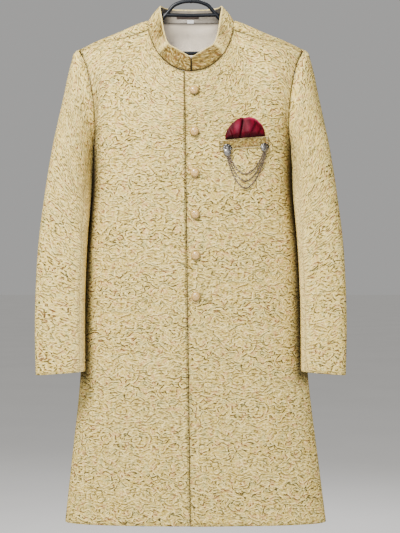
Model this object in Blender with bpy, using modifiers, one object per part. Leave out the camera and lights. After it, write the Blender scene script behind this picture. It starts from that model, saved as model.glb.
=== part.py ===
"""Sherwani coat on a hanger, in metres.

The origin is where the hanger's hook bears on its rail. +Z is up, the front faces -Y and +X is the
wearer's left. Every cloth piece is a wall between two sheets of points that the functions here work out.
"""

import bmesh
import bpy
import numpy as np
from mathutils import Vector

MAIN = "sherwani_coat_on_hanger"
GAP = 0.0003
WELD = 0.00002

# Cloth walls.
CLOTH = 0.0020
LINING = 0.0010
COLLAR_WALL = 0.0022
TUCK = 0.0006

# Heights that the tables share.
HEM_Z = -1.145
PIT_Z = -0.3734
SHOULDER_X = 0.229
NECK_SIDE_X = 0.0875
RIDGE_Z = -0.1095
SWAY = 0.0095

# The body below the arms: (height, half width, depth in front, depth behind, squareness).
BODY_RINGS = (
    (HEM_Z, 0.2685, 0.058, 0.060, 2.5),
    (-1.020, 0.2538, 0.064, 0.064, 2.5),
    (-0.862, 0.2356, 0.072, 0.068, 2.5),
    (-0.700, 0.2262, 0.080, 0.072, 2.5),
    (-0.564, 0.2166, 0.087, 0.077, 2.5),
    (-0.500, 0.2080, 0.090, 0.080, 2.55),
    (-0.460, 0.2032, 0.093, 0.083, 2.6),
    (-0.415, 0.2016, 0.095, 0.085, 2.65),
    (PIT_Z, 0.2030, 0.096, 0.087, 2.7),
)
BODY_ROWS = 9
YOKE_ROWS = 9
NECK_COLUMNS = 7
SHOULDER_COLUMNS = 7
SIDE_COLUMNS = NECK_COLUMNS + SHOULDER_COLUMNS
TURN = NECK_COLUMNS / SIDE_COLUMNS

# The shoulder's ridge from the collar to the armhole: (across, up). The forward seam is lower by SEAM_DROP.
RIDGE = (
    (0.0800, -0.1088),
    (0.0875, -0.1110),
    (0.1397, -0.1314),
    (0.1977, -0.1556),
    (0.2290, -0.1715),
)
RIDGE_PLACE = 0.82
RIDGE_FROM = 0.40
SEAM_DROP = 0.0040

# The seam that joins collar and body, centre back to centre front: (across, forward, up).
NECK_SEAM = (
    (0.0000, 0.052, -0.1070),
    (0.0400, 0.046, -0.1078),
    (0.0700, 0.028, -0.1092),
    (0.0865, 0.002, -0.1130),
    (0.0875, -0.022, -0.1330),
    (0.0793, -0.038, -0.1610),
    (0.0652, -0.055, -0.1880),
    (0.0473, -0.067, -0.2084),
    (0.0260, -0.077, -0.2225),
    (0.0000, -0.083, -0.2286),
)
SEAM_AT_SHOULDER = 4

# The top edge of the collar, at the same stations.
COLLAR_TOP = (
    (0.0000, 0.046, -0.0786),
    (0.0330, 0.041, -0.0788),
    (0.0540, 0.025, -0.0792),
    (0.0622, 0.002, -0.0808),
    (0.0590, -0.020, -0.1080),
    (0.0540, -0.036, -0.1400),
    (0.0450, -0.053, -0.1655),
    (0.0330, -0.061, -0.1790),
    (0.0170, -0.068, -0.1895),
    (0.0000, -0.072, -0.1980),
)
COLLAR_BULGE = 0.003
COLLAR_LIFT = 0.0015
CLOSING_LIFT = 0.0016
CLOSING_REACH = 0.045

# How each column of the yoke leaves the line under the arms and meets its top edge. Share of the way from
# centre to armhole, then the handles of its curve: (share, start y, start z, end x, end y, end z).
FRONT_HANDLES = (
    (0.00, -0.004, 0.055, 0.000, -0.012, -0.045),
    (0.35, -0.004, 0.060, 0.003, -0.022, -0.048),
    (0.50, -0.006, 0.070, 0.004, -0.036, -0.056),
    (0.75, -0.012, 0.080, 0.000, -0.060, -0.034),
    (0.90, -0.040, 0.060, -0.006, -0.062, -0.036),
    (1.00, -0.070, 0.016, -0.015, -0.058, -0.050),
)
BACK_HANDLES = (
    (0.00, 0.004, 0.080, 0.000, 0.020, -0.050),
    (0.30, 0.004, 0.080, 0.003, 0.036, -0.030),
    (0.40, 0.006, 0.085, 0.004, 0.044, 0.015),
    (0.50, 0.008, 0.090, 0.002, 0.050, 0.090),
    (0.75, 0.014, 0.085, -0.002, 0.058, 0.026),
    (1.00, 0.076, 0.018, -0.010, 0.056, 0.008),
)

# The sleeve hanging from the armhole, wearer's left, armhole to cuff:
# (outer x, outer z, inner x, inner z, centre y, half depth, squareness).
SLEEVE_RINGS = (
    (0.2290, -0.1785, 0.2050, -0.3734, -0.001, 0.050, 2.0),
    (0.2410, -0.1860, 0.2064, -0.3920, -0.004, 0.057, 2.0),
    (0.2508, -0.2190, 0.2066, -0.4120, -0.009, 0.061, 2.0),
    (0.2595, -0.2640, 0.2070, -0.4350, -0.016, 0.061, 2.1),
    (0.2705, -0.3180, 0.2079, -0.4620, -0.026, 0.057, 2.3),
    (0.2812, -0.3751, 0.2094, -0.4920, -0.036, 0.051, 2.6),
    (0.2942, -0.4645, 0.2128, -0.5420, -0.047, 0.043, 2.9),
    (0.3056, -0.5640, 0.2160, -0.6100, -0.057, 0.037, 3.1),
    (0.3112, -0.6630, 0.2183, -0.6900, -0.063, 0.034, 3.2),
    (0.3122, -0.7500, 0.2190, -0.7620, -0.068, 0.032, 3.3),
    (0.3102, -0.8360, 0.2187, -0.8290, -0.071, 0.031, 3.3),
)
SLEEVE_SETTLE = (1.0, 0.62, 0.34, 0.15, 0.04)
SLEEVE_ROWS = 17
SLEEVE_SEAM = 0.0006
FRONT_SEAM_STEP = 2
BACK_SEAM_STEP = 3
UNDERARM_CLEARANCE = (1.0, 1.0, 0.9, 0.4)
ARMHOLE_CLEARANCE = 0.0007
SLEEVE_SWAY = 0.7

# The closing: the left front's edge and how far the right front runs on under it.
EDGE_TOP_X = -0.0135
EDGE_HEM_X = -0.0112
UNDERLAP_X = 0.024
UNDERLAP_SHARE = 0.75
CLOSING_COLUMNS = 3
BLEND_X = 0.100

# Covered dome buttons.
BUTTON_COUNT = 6
BUTTON_X = 0.0052
BUTTON_TOP_Z = -0.2673
BUTTON_PITCH = 0.0822
BUTTON_RADIUS = 0.0095
BUTTON_HEIGHT = 0.0068
BUTTON_BACK_RADIUS = 0.0082
BUTTON_RIM = 0.0014
BUTTON_FULLNESS = 0.8
BUTTON_STEPS = 6
BUTTON_SIDES = 16

# Breast pocket, on the wearer's left chest.
WELT_X = 0.1064
WELT_Z = -0.3725
WELT_WIDTH = 0.0985
WELT_HEIGHT = 0.0212
WELT_TILT = 0.108
WELT_WALL = 0.0020
SQUARE_X = 0.1080
SQUARE_WIDTH = 0.0800
SQUARE_HEIGHT = 0.0385
SQUARE_DEPTH = 0.0120
SQUARE_EDGE = 0.0020
SQUARE_FOOT = 0.0040
SQUARE_FULLEST = 0.10
SQUARE_RIM = 0.02
SQUARE_FOLDS = 3
SQUARE_FOLDING = 0.08
SQUARE_COLUMNS = 20
SQUARE_ROWS = 8

# Brooches and the chains between them.
BROOCH_RADIUS = 0.0085
BROOCH_DEPTH = 0.0040
BROOCH_PETALS = 8
BROOCH_BASE = 0.90
BROOCH_TOP = 0.62
BROOCH_SCALLOP = 0.11
BROOCHES = (("brooch_inner", 0.0729, -0.3833), ("brooch_outer", 0.1469, -0.3800))
CHAIN_RADIUS = 0.0009
CHAIN_POINTS = 22
CHAIN_DROPS = (0.0420, 0.0560, 0.0700)
CHAIN_PITCH = 0.0026
CHAIN_LANDING = 0.18
CHAIN_START = 0.0016
CHAIN_LIFT = 0.0030
CHAIN_CURVE = 3.0
CHAIN_SPREAD = 0.06

# Blank labels inside the neck.
LABEL_WALL = 0.0006
NECK_LABEL = (-0.0310, 0.0160, 0.42, 0.88)
SIZE_TAB = (-0.0085, 0.0055, 0.10, 0.36)

# Hanger: the arms' centreline from the apex, (across, up), until it runs under the shoulders.
TUBE = 0.0048
BAR_TUBE = 0.0040
BRACE_TUBE = 0.0026
ARM_CREST = (
    (0.0048, -0.0700),
    (0.0150, -0.0708),
    (0.0270, -0.0745),
    (0.0370, -0.0830),
    (0.0450, -0.0940),
    (0.0580, -0.1052),
)
ARM_REACH = 0.2210
ARM_POINTS = 9
ARM_SEAT = 0.0008
ARM_LEAST_FALL = 0.30
REACH_STEPS = 600
BRACE_Z = -0.0985
BAR_Z = -0.1775
HOOK_TUBE = 0.0022
HOOK_RADIUS = 0.0200
HOOK_START = -62
HOOK_END = 205
HOOK_POINTS = 16
BOSS_RADIUS = 0.0042
HOOK_STEM = (-0.0755, -0.0640, -0.0625, -0.0520, -0.0470)
HOOK_BEND = (0.0030, 0.0, -0.0430)

# Finishes: (colour, roughness, metallic).
FINISHES = {
    "brocade": ((0.62, 0.52, 0.33), 0.75, 0.0),
    "collar_brocade": ((0.52, 0.40, 0.22), 0.70, 0.0),
    "lining": ((0.63, 0.58, 0.51), 0.60, 0.0),
    "button_cloth": ((0.68, 0.56, 0.38), 0.60, 0.0),
    "crimson": ((0.22, 0.010, 0.030), 0.45, 0.0),
    "silver": ((0.46, 0.45, 0.42), 0.35, 1.0),
    "dark_label": ((0.035, 0.018, 0.012), 0.80, 0.0),
    "white_label": ((0.80, 0.79, 0.76), 0.80, 0.0),
    "black_plastic": ((0.015, 0.015, 0.017), 0.35, 0.0),
}


def finish(name):
    made = bpy.data.materials.get(name)
    if made:
        return made
    colour, roughness, metallic = FINISHES[name]
    made = bpy.data.materials.new(name)
    made.use_nodes = True
    shader = made.node_tree.nodes["Principled BSDF"]
    shader.inputs["Base Color"].default_value = (*colour, 1.0)
    shader.inputs["Roughness"].default_value = roughness
    shader.inputs["Metallic"].default_value = metallic
    return made


def spline(table, places):
    """Rows read off a smooth curve through the table's rows, at places from 0 to the last row's number."""
    rows = np.array(table, float)
    slopes = np.gradient(rows, axis=0)
    low = np.clip(np.floor(places).astype(int), 0, len(rows) - 2)
    u = (np.asarray(places) - low)[:, None]
    return (
        rows[low] * (2 * u**3 - 3 * u**2 + 1)
        + slopes[low] * (u**3 - 2 * u**2 + u)
        + rows[low + 1] * (3 * u**2 - 2 * u**3)
        + slopes[low + 1] * (u**3 - u**2)
    )


def ring_sizes(z):
    """Half width, front depth, back depth and squareness of the body at height z."""
    heights = [row[0] for row in BODY_RINGS]
    place = np.interp(z, heights, range(len(heights)))
    return spline(BODY_RINGS, np.atleast_1d(place))[0][1:]


def ring_point(z, angle, side):
    """A point of the body's ring: angle 0 is the centre, pi/2 the side; side -1 is the front, 1 the back."""
    half, front, back, square = ring_sizes(z)
    depth = front if side < 0 else back
    x = half * abs(np.sin(angle)) ** (2 / square)
    y = side * depth * abs(np.cos(angle)) ** (2 / square)
    return np.array((x, y, z))


def angle_of(share):
    """Spreads columns evenly in width at the centre and round the turn at the side."""
    return share * np.pi / 2


def bezier(p0, p1, p2, p3, t):
    u = 1 - t
    return u**3 * p0 + 3 * u * u * t * p1 + 3 * u * t * t * p2 + t**3 * p3


def shoulder_point(share):
    """The shoulder seam, from the collar at 0 to the armhole at 1."""
    start = np.array(NECK_SEAM[SEAM_AT_SHOULDER])
    x = start[0] + share * (SHOULDER_X - start[0])
    y = start[1] + share * (-0.010 - start[1])
    drop = SEAM_DROP + (ridge_height(start[0]) - start[2] - SEAM_DROP) * (1 - share) ** 2
    return np.array((x, y, ridge_height(x) - drop))


def ridge_height(x):
    return np.interp(x, [row[0] for row in RIDGE], [row[1] for row in RIDGE])


def top_edge(share, side):
    """The top edge of the yoke: neckline from the centre to the shoulder seam, then along that seam."""
    if share >= TURN:
        return shoulder_point((share - TURN) / (1 - TURN))
    return spline(NECK_SEAM, np.array([neck_place(share, side)]))[0]


def neck_place(share, side):
    """Where a column meets the neckline, as a place in the neckline's table."""
    last = len(NECK_SEAM) - 1
    if side < 0:
        return last - (last - SEAM_AT_SHOULDER) * share / TURN
    return SEAM_AT_SHOULDER * share / TURN


def yoke_point(share, t, side):
    """A point above the arms' line, on a curve from the body's top ring (t 0) to the top edge (t 1)."""
    start = ring_point(PIT_Z, angle_of(share), side)
    end = top_edge(share, side)
    table = FRONT_HANDLES if side < 0 else BACK_HANDLES
    shares = [row[0] for row in table]
    handle = [np.interp(share, shares, [row[i] for row in table]) for i in range(1, 6)]
    first = start + np.array((0.0, handle[0], handle[1]))
    second = end + np.array(handle[2:])
    if side > 0 and share > RIDGE_FROM:
        # The handle's height is the one that brings the curve up to the ridge.
        top = ridge_height(abs(end[0])) - CLOTH / 2
        u = 1 - RIDGE_PLACE
        rest = u**3 * start[2] + 3 * u * u * RIDGE_PLACE * first[2] + RIDGE_PLACE**3 * end[2]
        second[2] = (top - rest) / (3 * u * RIDGE_PLACE**2)
    return bezier(start, first, second, end, t)


def body_column(share, side):
    """One column of a body panel, hem to top edge."""
    heights = np.linspace(HEM_Z, PIT_Z, BODY_ROWS + 1)
    below = [ring_point(z, angle_of(share), side) for z in heights[:-1]]
    above = [yoke_point(share, t, side) for t in np.linspace(0, 1, YOKE_ROWS + 1)]
    return below + above


def mirrored(points):
    return points * np.array((-1.0, 1.0, 1.0))


def swayed(points):
    """The whole body leans a little to one side, most at the hem."""
    out = np.array(points, float)
    fall = np.clip((RIDGE_Z - out[..., 2]) / (RIDGE_Z - HEM_Z), 0, 1)
    out[..., 0] += SWAY * fall
    return out


def normals_of(grid):
    """Unit normals of a grid of points, from the differences along its rows and columns."""
    normal = np.cross(np.gradient(grid, axis=1), np.gradient(grid, axis=0))
    return unit(normal)


def unit(vectors):
    return vectors / np.maximum(np.linalg.norm(vectors, axis=-1, keepdims=True), 1e-9)


def shrunk(grid, amount):
    """The grid with each outer edge drawn in by amount, for the gap of a seam."""
    out = grid.copy()
    for axis in (0, 1):
        view = np.moveaxis(out, axis, 0)
        for end, inner in ((0, 1), (-1, -2)):
            step = view[inner] - view[end]
            view[end] += step / np.linalg.norm(step, axis=-1, keepdims=True) * amount
    return out


def add_object(name, mesh, material):
    made = bpy.data.objects.new(name, mesh)
    mesh.materials.append(finish(material))
    bpy.data.collections[MAIN].objects.link(made)
    return made


def wall(name, grid, normals, inside, outside, material):
    """A closed wall on a grid of points, from inside to outside of it along the normals."""
    rows, columns = grid.shape[:2]
    build = bmesh.new()
    sheets = []
    for offset in (outside, -inside):
        points = grid + normals * np.broadcast_to(offset, (rows, columns))[..., None]
        sheets.append([[build.verts.new(p) for p in row] for row in points])
    outer, inner = sheets
    for i in range(rows - 1):
        for j in range(columns - 1):
            build.faces.new((outer[i][j], outer[i][j + 1], outer[i + 1][j + 1], outer[i + 1][j]))
            build.faces.new((inner[i][j], inner[i + 1][j], inner[i + 1][j + 1], inner[i][j + 1]))
    rim = [(0, j) for j in range(columns)] + [(i, columns - 1) for i in range(1, rows)]
    rim += [(rows - 1, j) for j in range(columns - 2, -1, -1)] + [(i, 0) for i in range(rows - 2, 0, -1)]
    for (a, b), (c, d) in zip(rim, rim[1:] + rim[:1]):
        build.faces.new((outer[a][b], inner[a][b], inner[c][d], outer[c][d]))
    bmesh.ops.remove_doubles(build, verts=build.verts, dist=WELD)
    bmesh.ops.recalc_face_normals(build, faces=build.faces)
    mesh = bpy.data.meshes.new(name)
    build.to_mesh(mesh)
    build.free()
    mesh.shade_smooth()
    mesh.set_sharp_from_angle(angle=np.radians(40))
    return add_object(name, mesh, material)


def edge_x(z):
    """Where the left front's free edge runs, before the sway."""
    return np.interp(z, (HEM_Z, BUTTON_TOP_Z), (EDGE_HEM_X, EDGE_TOP_X))


def half_panel(side):
    """Points of half the body, columns from the centre to the side seam and armhole."""
    shares = np.linspace(0, 1, SIDE_COLUMNS + 1)
    return np.stack([body_column(share, side) for share in shares], axis=1)


def full_grid(half, side):
    """Both halves as one grid, columns from left to right as seen from outside."""
    if side < 0:
        return np.concatenate([mirrored(half[:, :0:-1]), half], axis=1)
    return np.concatenate([half[:, ::-1], mirrored(half[:, 1:])], axis=1)


def body_grids():
    """The whole front and back with their normals, which agree along every seam that the two share."""
    front, back = (full_grid(half_panel(side), side) for side in (-1, 1))
    front_normals, back_normals = normals_of(front), normals_of(back)
    rows, columns = front.shape[:2]
    for j in range(columns):
        shared = range(rows) if j in (0, columns - 1) else (rows - 1,)
        for i in shared:
            across = abs(j - SIDE_COLUMNS)
            on_seam = (i <= BODY_ROWS) if i < rows - 1 else across >= NECK_COLUMNS
            if on_seam:
                mean = unit(front_normals[i, j] + back_normals[i, columns - 1 - j])
                front_normals[i, j] = back_normals[i, columns - 1 - j] = mean
    return front, front_normals, back, back_normals


FRONT, FRONT_NORMALS, BACK, BACK_NORMALS = body_grids()


def read_row(row, normals, places):
    """Points and normals of a grid's row at the given places across."""
    x = row[:, 0]
    points = np.stack([np.interp(places, x, row[:, k]) for k in range(3)], axis=-1)
    turned = np.stack([np.interp(places, x, normals[:, k]) for k in range(3)], axis=-1)
    return points, unit(turned)


def closing_ease(x):
    """How far the left front is raised to lie on the right one: 1 at the closing, 0 well past it."""
    share = np.clip((BLEND_X - x) / (BLEND_X - UNDERLAP_X), 0, 1)
    return share * share * (3 - 2 * share)


def front_surface(x, z):
    """The point on the left front's outer face at x and height z, and its normal."""
    lean = SWAY * np.clip((RIDGE_Z - z) / (RIDGE_Z - HEM_Z), 0, 1)
    column = [read_row(row, turned, x - lean) for row, turned in zip(FRONT, FRONT_NORMALS)]
    points = np.array([point for point, _ in column])
    turned = np.array([normal for _, normal in column])
    point = np.array([np.interp(z, points[:, 2], points[:, k]) for k in range(3)])
    normal = unit(np.array([np.interp(z, points[:, 2], turned[:, k]) for k in range(3)]))
    lift = CLOTH / 2 + (CLOTH + TUCK) * closing_ease(x - lean)
    return point + (lean, 0, 0) + normal * lift, normal


def front_columns(keep_left):
    """One front's grid: the columns of its own half, and the columns of the closing that both share."""
    points, normals = [], []
    for row, turned in zip(FRONT, FRONT_NORMALS):
        past = min(UNDERLAP_X, UNDERLAP_SHARE * row[SIDE_COLUMNS + 1, 0])
        closing = np.linspace(edge_x(row[SIDE_COLUMNS, 2]), past, CLOSING_COLUMNS)
        own = row[SIDE_COLUMNS + 1 :, 0] if keep_left else row[:SIDE_COLUMNS, 0]
        places = np.concatenate([closing, own] if keep_left else [own, closing])
        line, line_normals = read_row(row, turned, places)
        points.append(line)
        normals.append(line_normals)
    return np.array(points), np.array(normals)


def make_front_left():
    grid, normals = front_columns(True)
    lifted = grid + normals * ((CLOTH + TUCK) * closing_ease(grid[..., 0]))[..., None]
    wall("front_left", swayed(shrunk(lifted, GAP / 2)), normals, CLOTH / 2, CLOTH / 2, "brocade")


def make_front_right():
    grid, normals = front_columns(False)
    wall("front_right", swayed(shrunk(grid, GAP / 2)), normals, CLOTH / 2, CLOTH / 2, "brocade")


def make_back():
    wall("back", swayed(shrunk(BACK, GAP / 2)), BACK_NORMALS, CLOTH / 2, CLOTH / 2, "brocade")


def make_back_lining():
    normals = BACK_NORMALS[1:, 1:-1]
    inset = BACK[1:, 1:-1] - normals * (CLOTH / 2 + GAP + LINING / 2)
    wall("lining_back", swayed(inset), normals, LINING / 2, LINING / 2, "lining")


def armhole_point(angle):
    """The armhole seam: angle 0 at the top, pi/2 at the front, pi under the arm, 3 pi/2 at the back."""
    side = -1 if angle <= np.pi else 1
    t = 1 - angle / np.pi if side < 0 else angle / np.pi - 1
    return yoke_point(1.0, t, side)


def squared(turn, square):
    """A cosine or sine, pushed out towards 1 where the section is squarer than an oval."""
    return np.sign(turn) * np.abs(turn) ** (2 / square)


def sleeve_point(row, settle, angle):
    outer_x, outer_z, inner_x, inner_z, centre_y, depth, square = row
    centre = np.array(((outer_x + inner_x) / 2, centre_y, (outer_z + inner_z) / 2))
    half = np.array(((outer_x - inner_x) / 2, 0.0, (outer_z - inner_z) / 2))
    forward = depth * squared(np.sin(angle), square)
    point = centre + half * squared(np.cos(angle), square) - np.array((0.0, forward, 0.0))
    first = SLEEVE_RINGS[0]
    centre = np.array(((first[0] + first[2]) / 2, first[4], (first[1] + first[3]) / 2))
    half = np.array(((first[0] - first[2]) / 2, 0.0, (first[1] - first[3]) / 2))
    model = centre + half * np.cos(angle) - np.array((0.0, first[5] * np.sin(angle), 0.0))
    return point + settle * (armhole_point(angle % (2 * np.pi)) - model)


def sleeve_grid():
    """Rows from cuff to armhole, columns round from under the arm, by the back, top and front, to there."""
    steps = 2 * YOKE_ROWS
    angles = np.pi + 2 * np.pi * np.arange(steps + 1) / steps
    places = np.linspace(0, len(SLEEVE_RINGS) - 1, SLEEVE_ROWS)
    rows = spline(SLEEVE_RINGS, places)
    settles = np.interp(places, range(len(SLEEVE_SETTLE) + 1), (*SLEEVE_SETTLE, 0.0))
    grid = np.array([[sleeve_point(r, s, a) for a in angles] for r, s in zip(rows, settles)])
    around = np.concatenate([grid[:, -2:-1], grid, grid[:, 1:2]], axis=1)
    normals = normals_of(around)[:, 1:-1]
    for k in range(steps + 1):
        # The seam's points are the body's, and its normals halve the corner, but for the stretch under
        # the arm, where the two walls hang side by side.
        up = k if k <= YOKE_ROWS else steps - k
        clear = UNDERARM_CLEARANCE[up] if up < len(UNDERARM_CLEARANCE) else 0.0
        body = BACK_NORMALS[BODY_ROWS + up, 0] if k <= YOKE_ROWS else FRONT_NORMALS[BODY_ROWS + up, -1]
        normals[0, k] = unit(normals[0, k] + body * (1 - clear))
        grid[0:2, k, 0] += ARMHOLE_CLEARANCE + CLOTH * clear
    return grid[::-1], normals[::-1]


def sleeve_sway(grid, columns):
    """Full sway at the armhole; towards the cuff less inside the arm, and none along its outer side."""
    moved = swayed(grid) - grid
    inward = (1 + np.cos(columns * np.pi / YOKE_ROWS)) / 2
    down = 1 - np.linspace(0, 1, grid.shape[0])[:, None] ** 3
    keep = 1 - down * (1 - SLEEVE_SWAY * inward)
    return grid + moved * keep[..., None]


def make_sleeves():
    grid, normals = sleeve_grid()
    front_column = 2 * YOKE_ROWS - FRONT_SEAM_STEP
    around = np.arange(2 * YOKE_ROWS)
    spans = {
        "top": around[BACK_SEAM_STEP : front_column + 1],
        "under": np.concatenate([around[front_column:], around[: BACK_SEAM_STEP + 1]]),
    }
    for part, columns in spans.items():
        piece = shrunk(grid[:, columns], SLEEVE_SEAM / 2)
        turned = normals[:, columns]
        for side, flip in (("left", 1.0), ("right", -1.0)):
            flipped = np.array((flip, 1.0, 1.0))
            name = f"sleeve_{side}_{part}"
            hung = sleeve_sway(piece * flipped, columns)
            wall(name, hung, turned * flipped, CLOTH / 2, CLOTH / 2, "brocade")


def collar_grid():
    """Rows up the collar, columns from one front end round the back to the other."""
    front = [neck_place(share, -1) for share in np.linspace(0, TURN, NECK_COLUMNS + 1)]
    back = [neck_place(share, 1) for share in np.linspace(TURN, 0, NECK_COLUMNS + 1)]
    places = np.array(front + back[1:])
    low, high = spline(NECK_SEAM, places), spline(COLLAR_TOP, places)
    rows = []
    for t in (0.0, 0.5, 1.0):
        middle = low * (1 - t) + high * t
        away = unit((middle - middle.mean(axis=0) * (0, 1, 1)) * (1, 1, 0))
        rows.append(middle + away * COLLAR_BULGE * 4 * t * (1 - t))
    half = np.array(rows)
    return np.concatenate([mirrored(half[:, :-1]), half[:, ::-1]], axis=1)


def make_collar():
    grid = collar_grid()
    normals = -normals_of(grid)
    grid = shrunk(grid, GAP / 2)
    near = np.clip(1 - abs(grid[0, :, 0]) / CLOSING_REACH, 0, 1) * (grid[0, :, 1] < 0)
    grid[0] += unit(grid[1] - grid[0]) * (COLLAR_LIFT + CLOSING_LIFT * near)[:, None]
    wall("collar", swayed(grid), normals, 0.0, COLLAR_WALL, "collar_brocade")
    inner = grid - normals * (GAP + LINING)
    wall("collar_lining", swayed(inner), normals, 0.0, LINING, "lining")


def make_buttons():
    profile = bmesh.new()
    corners = [(0.0, 0.0), (BUTTON_BACK_RADIUS, 0.0)]
    for k in range(BUTTON_STEPS):
        turn = np.pi / 2 * k / BUTTON_STEPS
        dome = (BUTTON_HEIGHT - BUTTON_RIM) * np.sin(turn)
        corners.append((BUTTON_RADIUS * np.cos(turn) ** BUTTON_FULLNESS, BUTTON_RIM + dome))
    corners.append((0.0, BUTTON_HEIGHT))
    verts = [profile.verts.new((x, 0.0, z)) for x, z in reversed(corners)]
    for a, b in zip(verts, verts[1:]):
        profile.edges.new((a, b))
    mesh = bpy.data.meshes.new("button_profile")
    profile.to_mesh(mesh)
    profile.free()
    for k in range(BUTTON_COUNT):
        z = BUTTON_TOP_Z - k * BUTTON_PITCH
        x = BUTTON_X + SWAY * (RIDGE_Z - z) / (RIDGE_Z - HEM_Z)
        point, normal = front_surface(x, z)
        made = add_object(f"button_{k + 1}", mesh.copy(), "button_cloth")
        made.location = point + normal * 2 * GAP
        made.rotation_mode = "QUATERNION"
        made.rotation_quaternion = turn_to(normal)
        turned = made.modifiers.new("turn", "SCREW")
        turned.steps = BUTTON_SIDES
        turned.render_steps = BUTTON_SIDES
        turned.use_merge_vertices = True
        turned.merge_threshold = 0.00001


def turn_to(normal):
    """The rotation that stands +Z along the normal."""
    return Vector(normal).to_track_quat("Z", "Y")


def front_patch(centre_x, centre_z, width, height, tilt, columns, rows, bow=None):
    """A grid on the left front's face, with its normals. bow bends the points in the patch's own plane."""
    points, normals = [], []
    for v in np.linspace(-0.5, 0.5, rows + 1):
        line, line_normals = [], []
        for u in np.linspace(-0.5, 0.5, columns + 1):
            a, b = (u * width, v * height) if bow is None else bow(u, v)
            x, z = centre_x + a, centre_z + b + a * tilt
            point, normal = front_surface(x, z)
            line.append(point)
            line_normals.append(normal)
        points.append(line)
        normals.append(line_normals)
    return np.array(points), np.array(normals)


def make_pocket():
    points, normals = front_patch(WELT_X, WELT_Z, WELT_WIDTH, WELT_HEIGHT, WELT_TILT, 12, 2)
    lift = 2 * GAP
    wall("pocket_welt", points, normals, -lift, lift + WELT_WALL, "brocade")
    bottom = WELT_HEIGHT / 2 + 2 * GAP

    def fan(u, v):
        """Spreads the square's rows over a half round that widens from the welt's edge."""
        rise = np.sqrt(np.clip(1 - (2 * u) ** 2, 0, 1))
        up = SQUARE_FOOT * rise + (v + 0.5) * (SQUARE_HEIGHT - SQUARE_FOOT) * rise
        return u * SQUARE_WIDTH, bottom + up

    points, normals = front_patch(SQUARE_X, WELT_Z, 0, 0, WELT_TILT, SQUARE_COLUMNS, SQUARE_ROWS, fan)
    v = np.linspace(0, 1, SQUARE_ROWS + 1)[:, None]
    u = np.linspace(-1, 1, SQUARE_COLUMNS + 1)[None, :]
    crown = np.sqrt(np.clip(1 - u**2, 0, 1)) * np.sqrt(np.clip(1 - (v - SQUARE_FULLEST) ** 2, SQUARE_RIM, 1))
    folds = 1 - SQUARE_FOLDING * (1 - np.cos(SQUARE_FOLDS * np.pi * (u + v / 4)))
    depth = SQUARE_EDGE + SQUARE_DEPTH * crown * folds
    wall("pocket_square", points, normals, -3 * GAP, 3 * GAP + depth, "crimson")


def make_brooches():
    for name, x, z in BROOCHES:
        point, normal = front_surface(x, z)
        build = bmesh.new()
        bmesh.ops.create_cone(
            build,
            cap_ends=True,
            segments=4 * BROOCH_PETALS,
            radius1=BROOCH_RADIUS * BROOCH_BASE,
            radius2=BROOCH_RADIUS * BROOCH_TOP,
            depth=BROOCH_DEPTH,
        )
        for vert in build.verts:
            angle = np.arctan2(vert.co.y, vert.co.x)
            vert.co.xy *= 1 + BROOCH_SCALLOP * np.cos(BROOCH_PETALS * angle)
            vert.co.z += BROOCH_DEPTH / 2
        mesh = bpy.data.meshes.new(name)
        build.to_mesh(mesh)
        build.free()
        made = add_object(name, mesh, "silver")
        made.location = point + normal * (4 * GAP + WELT_WALL)
        made.rotation_mode = "QUATERNION"
        made.rotation_quaternion = turn_to(normal)


def tube(name, points, radius, material, radii=None, sides=2):
    """A round bar through the points, with closed ends."""
    curve = bpy.data.curves.new(name, "CURVE")
    curve.dimensions = "3D"
    curve.bevel_depth = radius
    curve.bevel_resolution = sides
    curve.use_fill_caps = True
    spline_made = curve.splines.new("POLY")
    spline_made.points.add(len(points) - 1)
    for k, point in enumerate(points):
        spline_made.points[k].co = (*point, 1.0)
        spline_made.points[k].radius = 1.0 if radii is None else radii[k] / radius
    return add_object(name, curve, material)


def make_chains():
    """Three chains, each hung like a slack line between the brooches, one below the other on the panel."""
    (_, left_x, left_z), (_, right_x, right_z) = BROOCHES
    for k, drop in enumerate(CHAIN_DROPS):
        shift = CHAIN_PITCH * (1 - k)
        start, end = left_x + shift, right_x - shift
        points = []
        for u in np.linspace(0, 1, CHAIN_POINTS):
            deepest = np.cosh(CHAIN_CURVE)
            sag = (np.cosh(CHAIN_CURVE * (2 * u - 1)) - deepest) / (deepest - 1)
            x = start + (end - start) * (u + CHAIN_SPREAD * np.sin(2 * np.pi * u))
            z = left_z + (right_z - left_z) * u - BROOCH_RADIUS - CHAIN_START + drop * sag
            point, normal = front_surface(x, z)
            rise = np.clip(1 - min(u, 1 - u) / CHAIN_LANDING, 0, 1)
            points.append(point + normal * (CHAIN_RADIUS + 2 * GAP + CHAIN_LIFT * rise))
        tube(f"chain_{k + 1}", points, CHAIN_RADIUS, "silver", sides=1)


def make_labels():
    grid = collar_grid()
    normals = -normals_of(grid)
    middle = grid.shape[1] // 2
    reach = slice(middle - 4, middle + 5)
    for name, (left, right, low, high), material in (
        ("neck_label", NECK_LABEL, "dark_label"),
        ("size_tab", SIZE_TAB, "white_label"),
    ):
        sheet = grid[[0, 2], reach]
        turned = normals[[0, 2], reach]
        places = np.linspace(left, right, 5)
        bottom, bottom_turned = read_row(sheet[0], turned[0], places)
        top, top_turned = read_row(sheet[1], turned[1], places)
        bulge = normals[1, middle] * COLLAR_BULGE
        rows = [bottom + (top - bottom) * t + bulge * 4 * t * (1 - t) for t in np.linspace(low, high, 3)]
        face = unit(bottom_turned + top_turned)
        points = np.array(rows) - face * (LINING + 4 * GAP + LABEL_WALL)
        wall(name, swayed(points), np.array([face] * 3), 0.0, LABEL_WALL, material)


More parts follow.
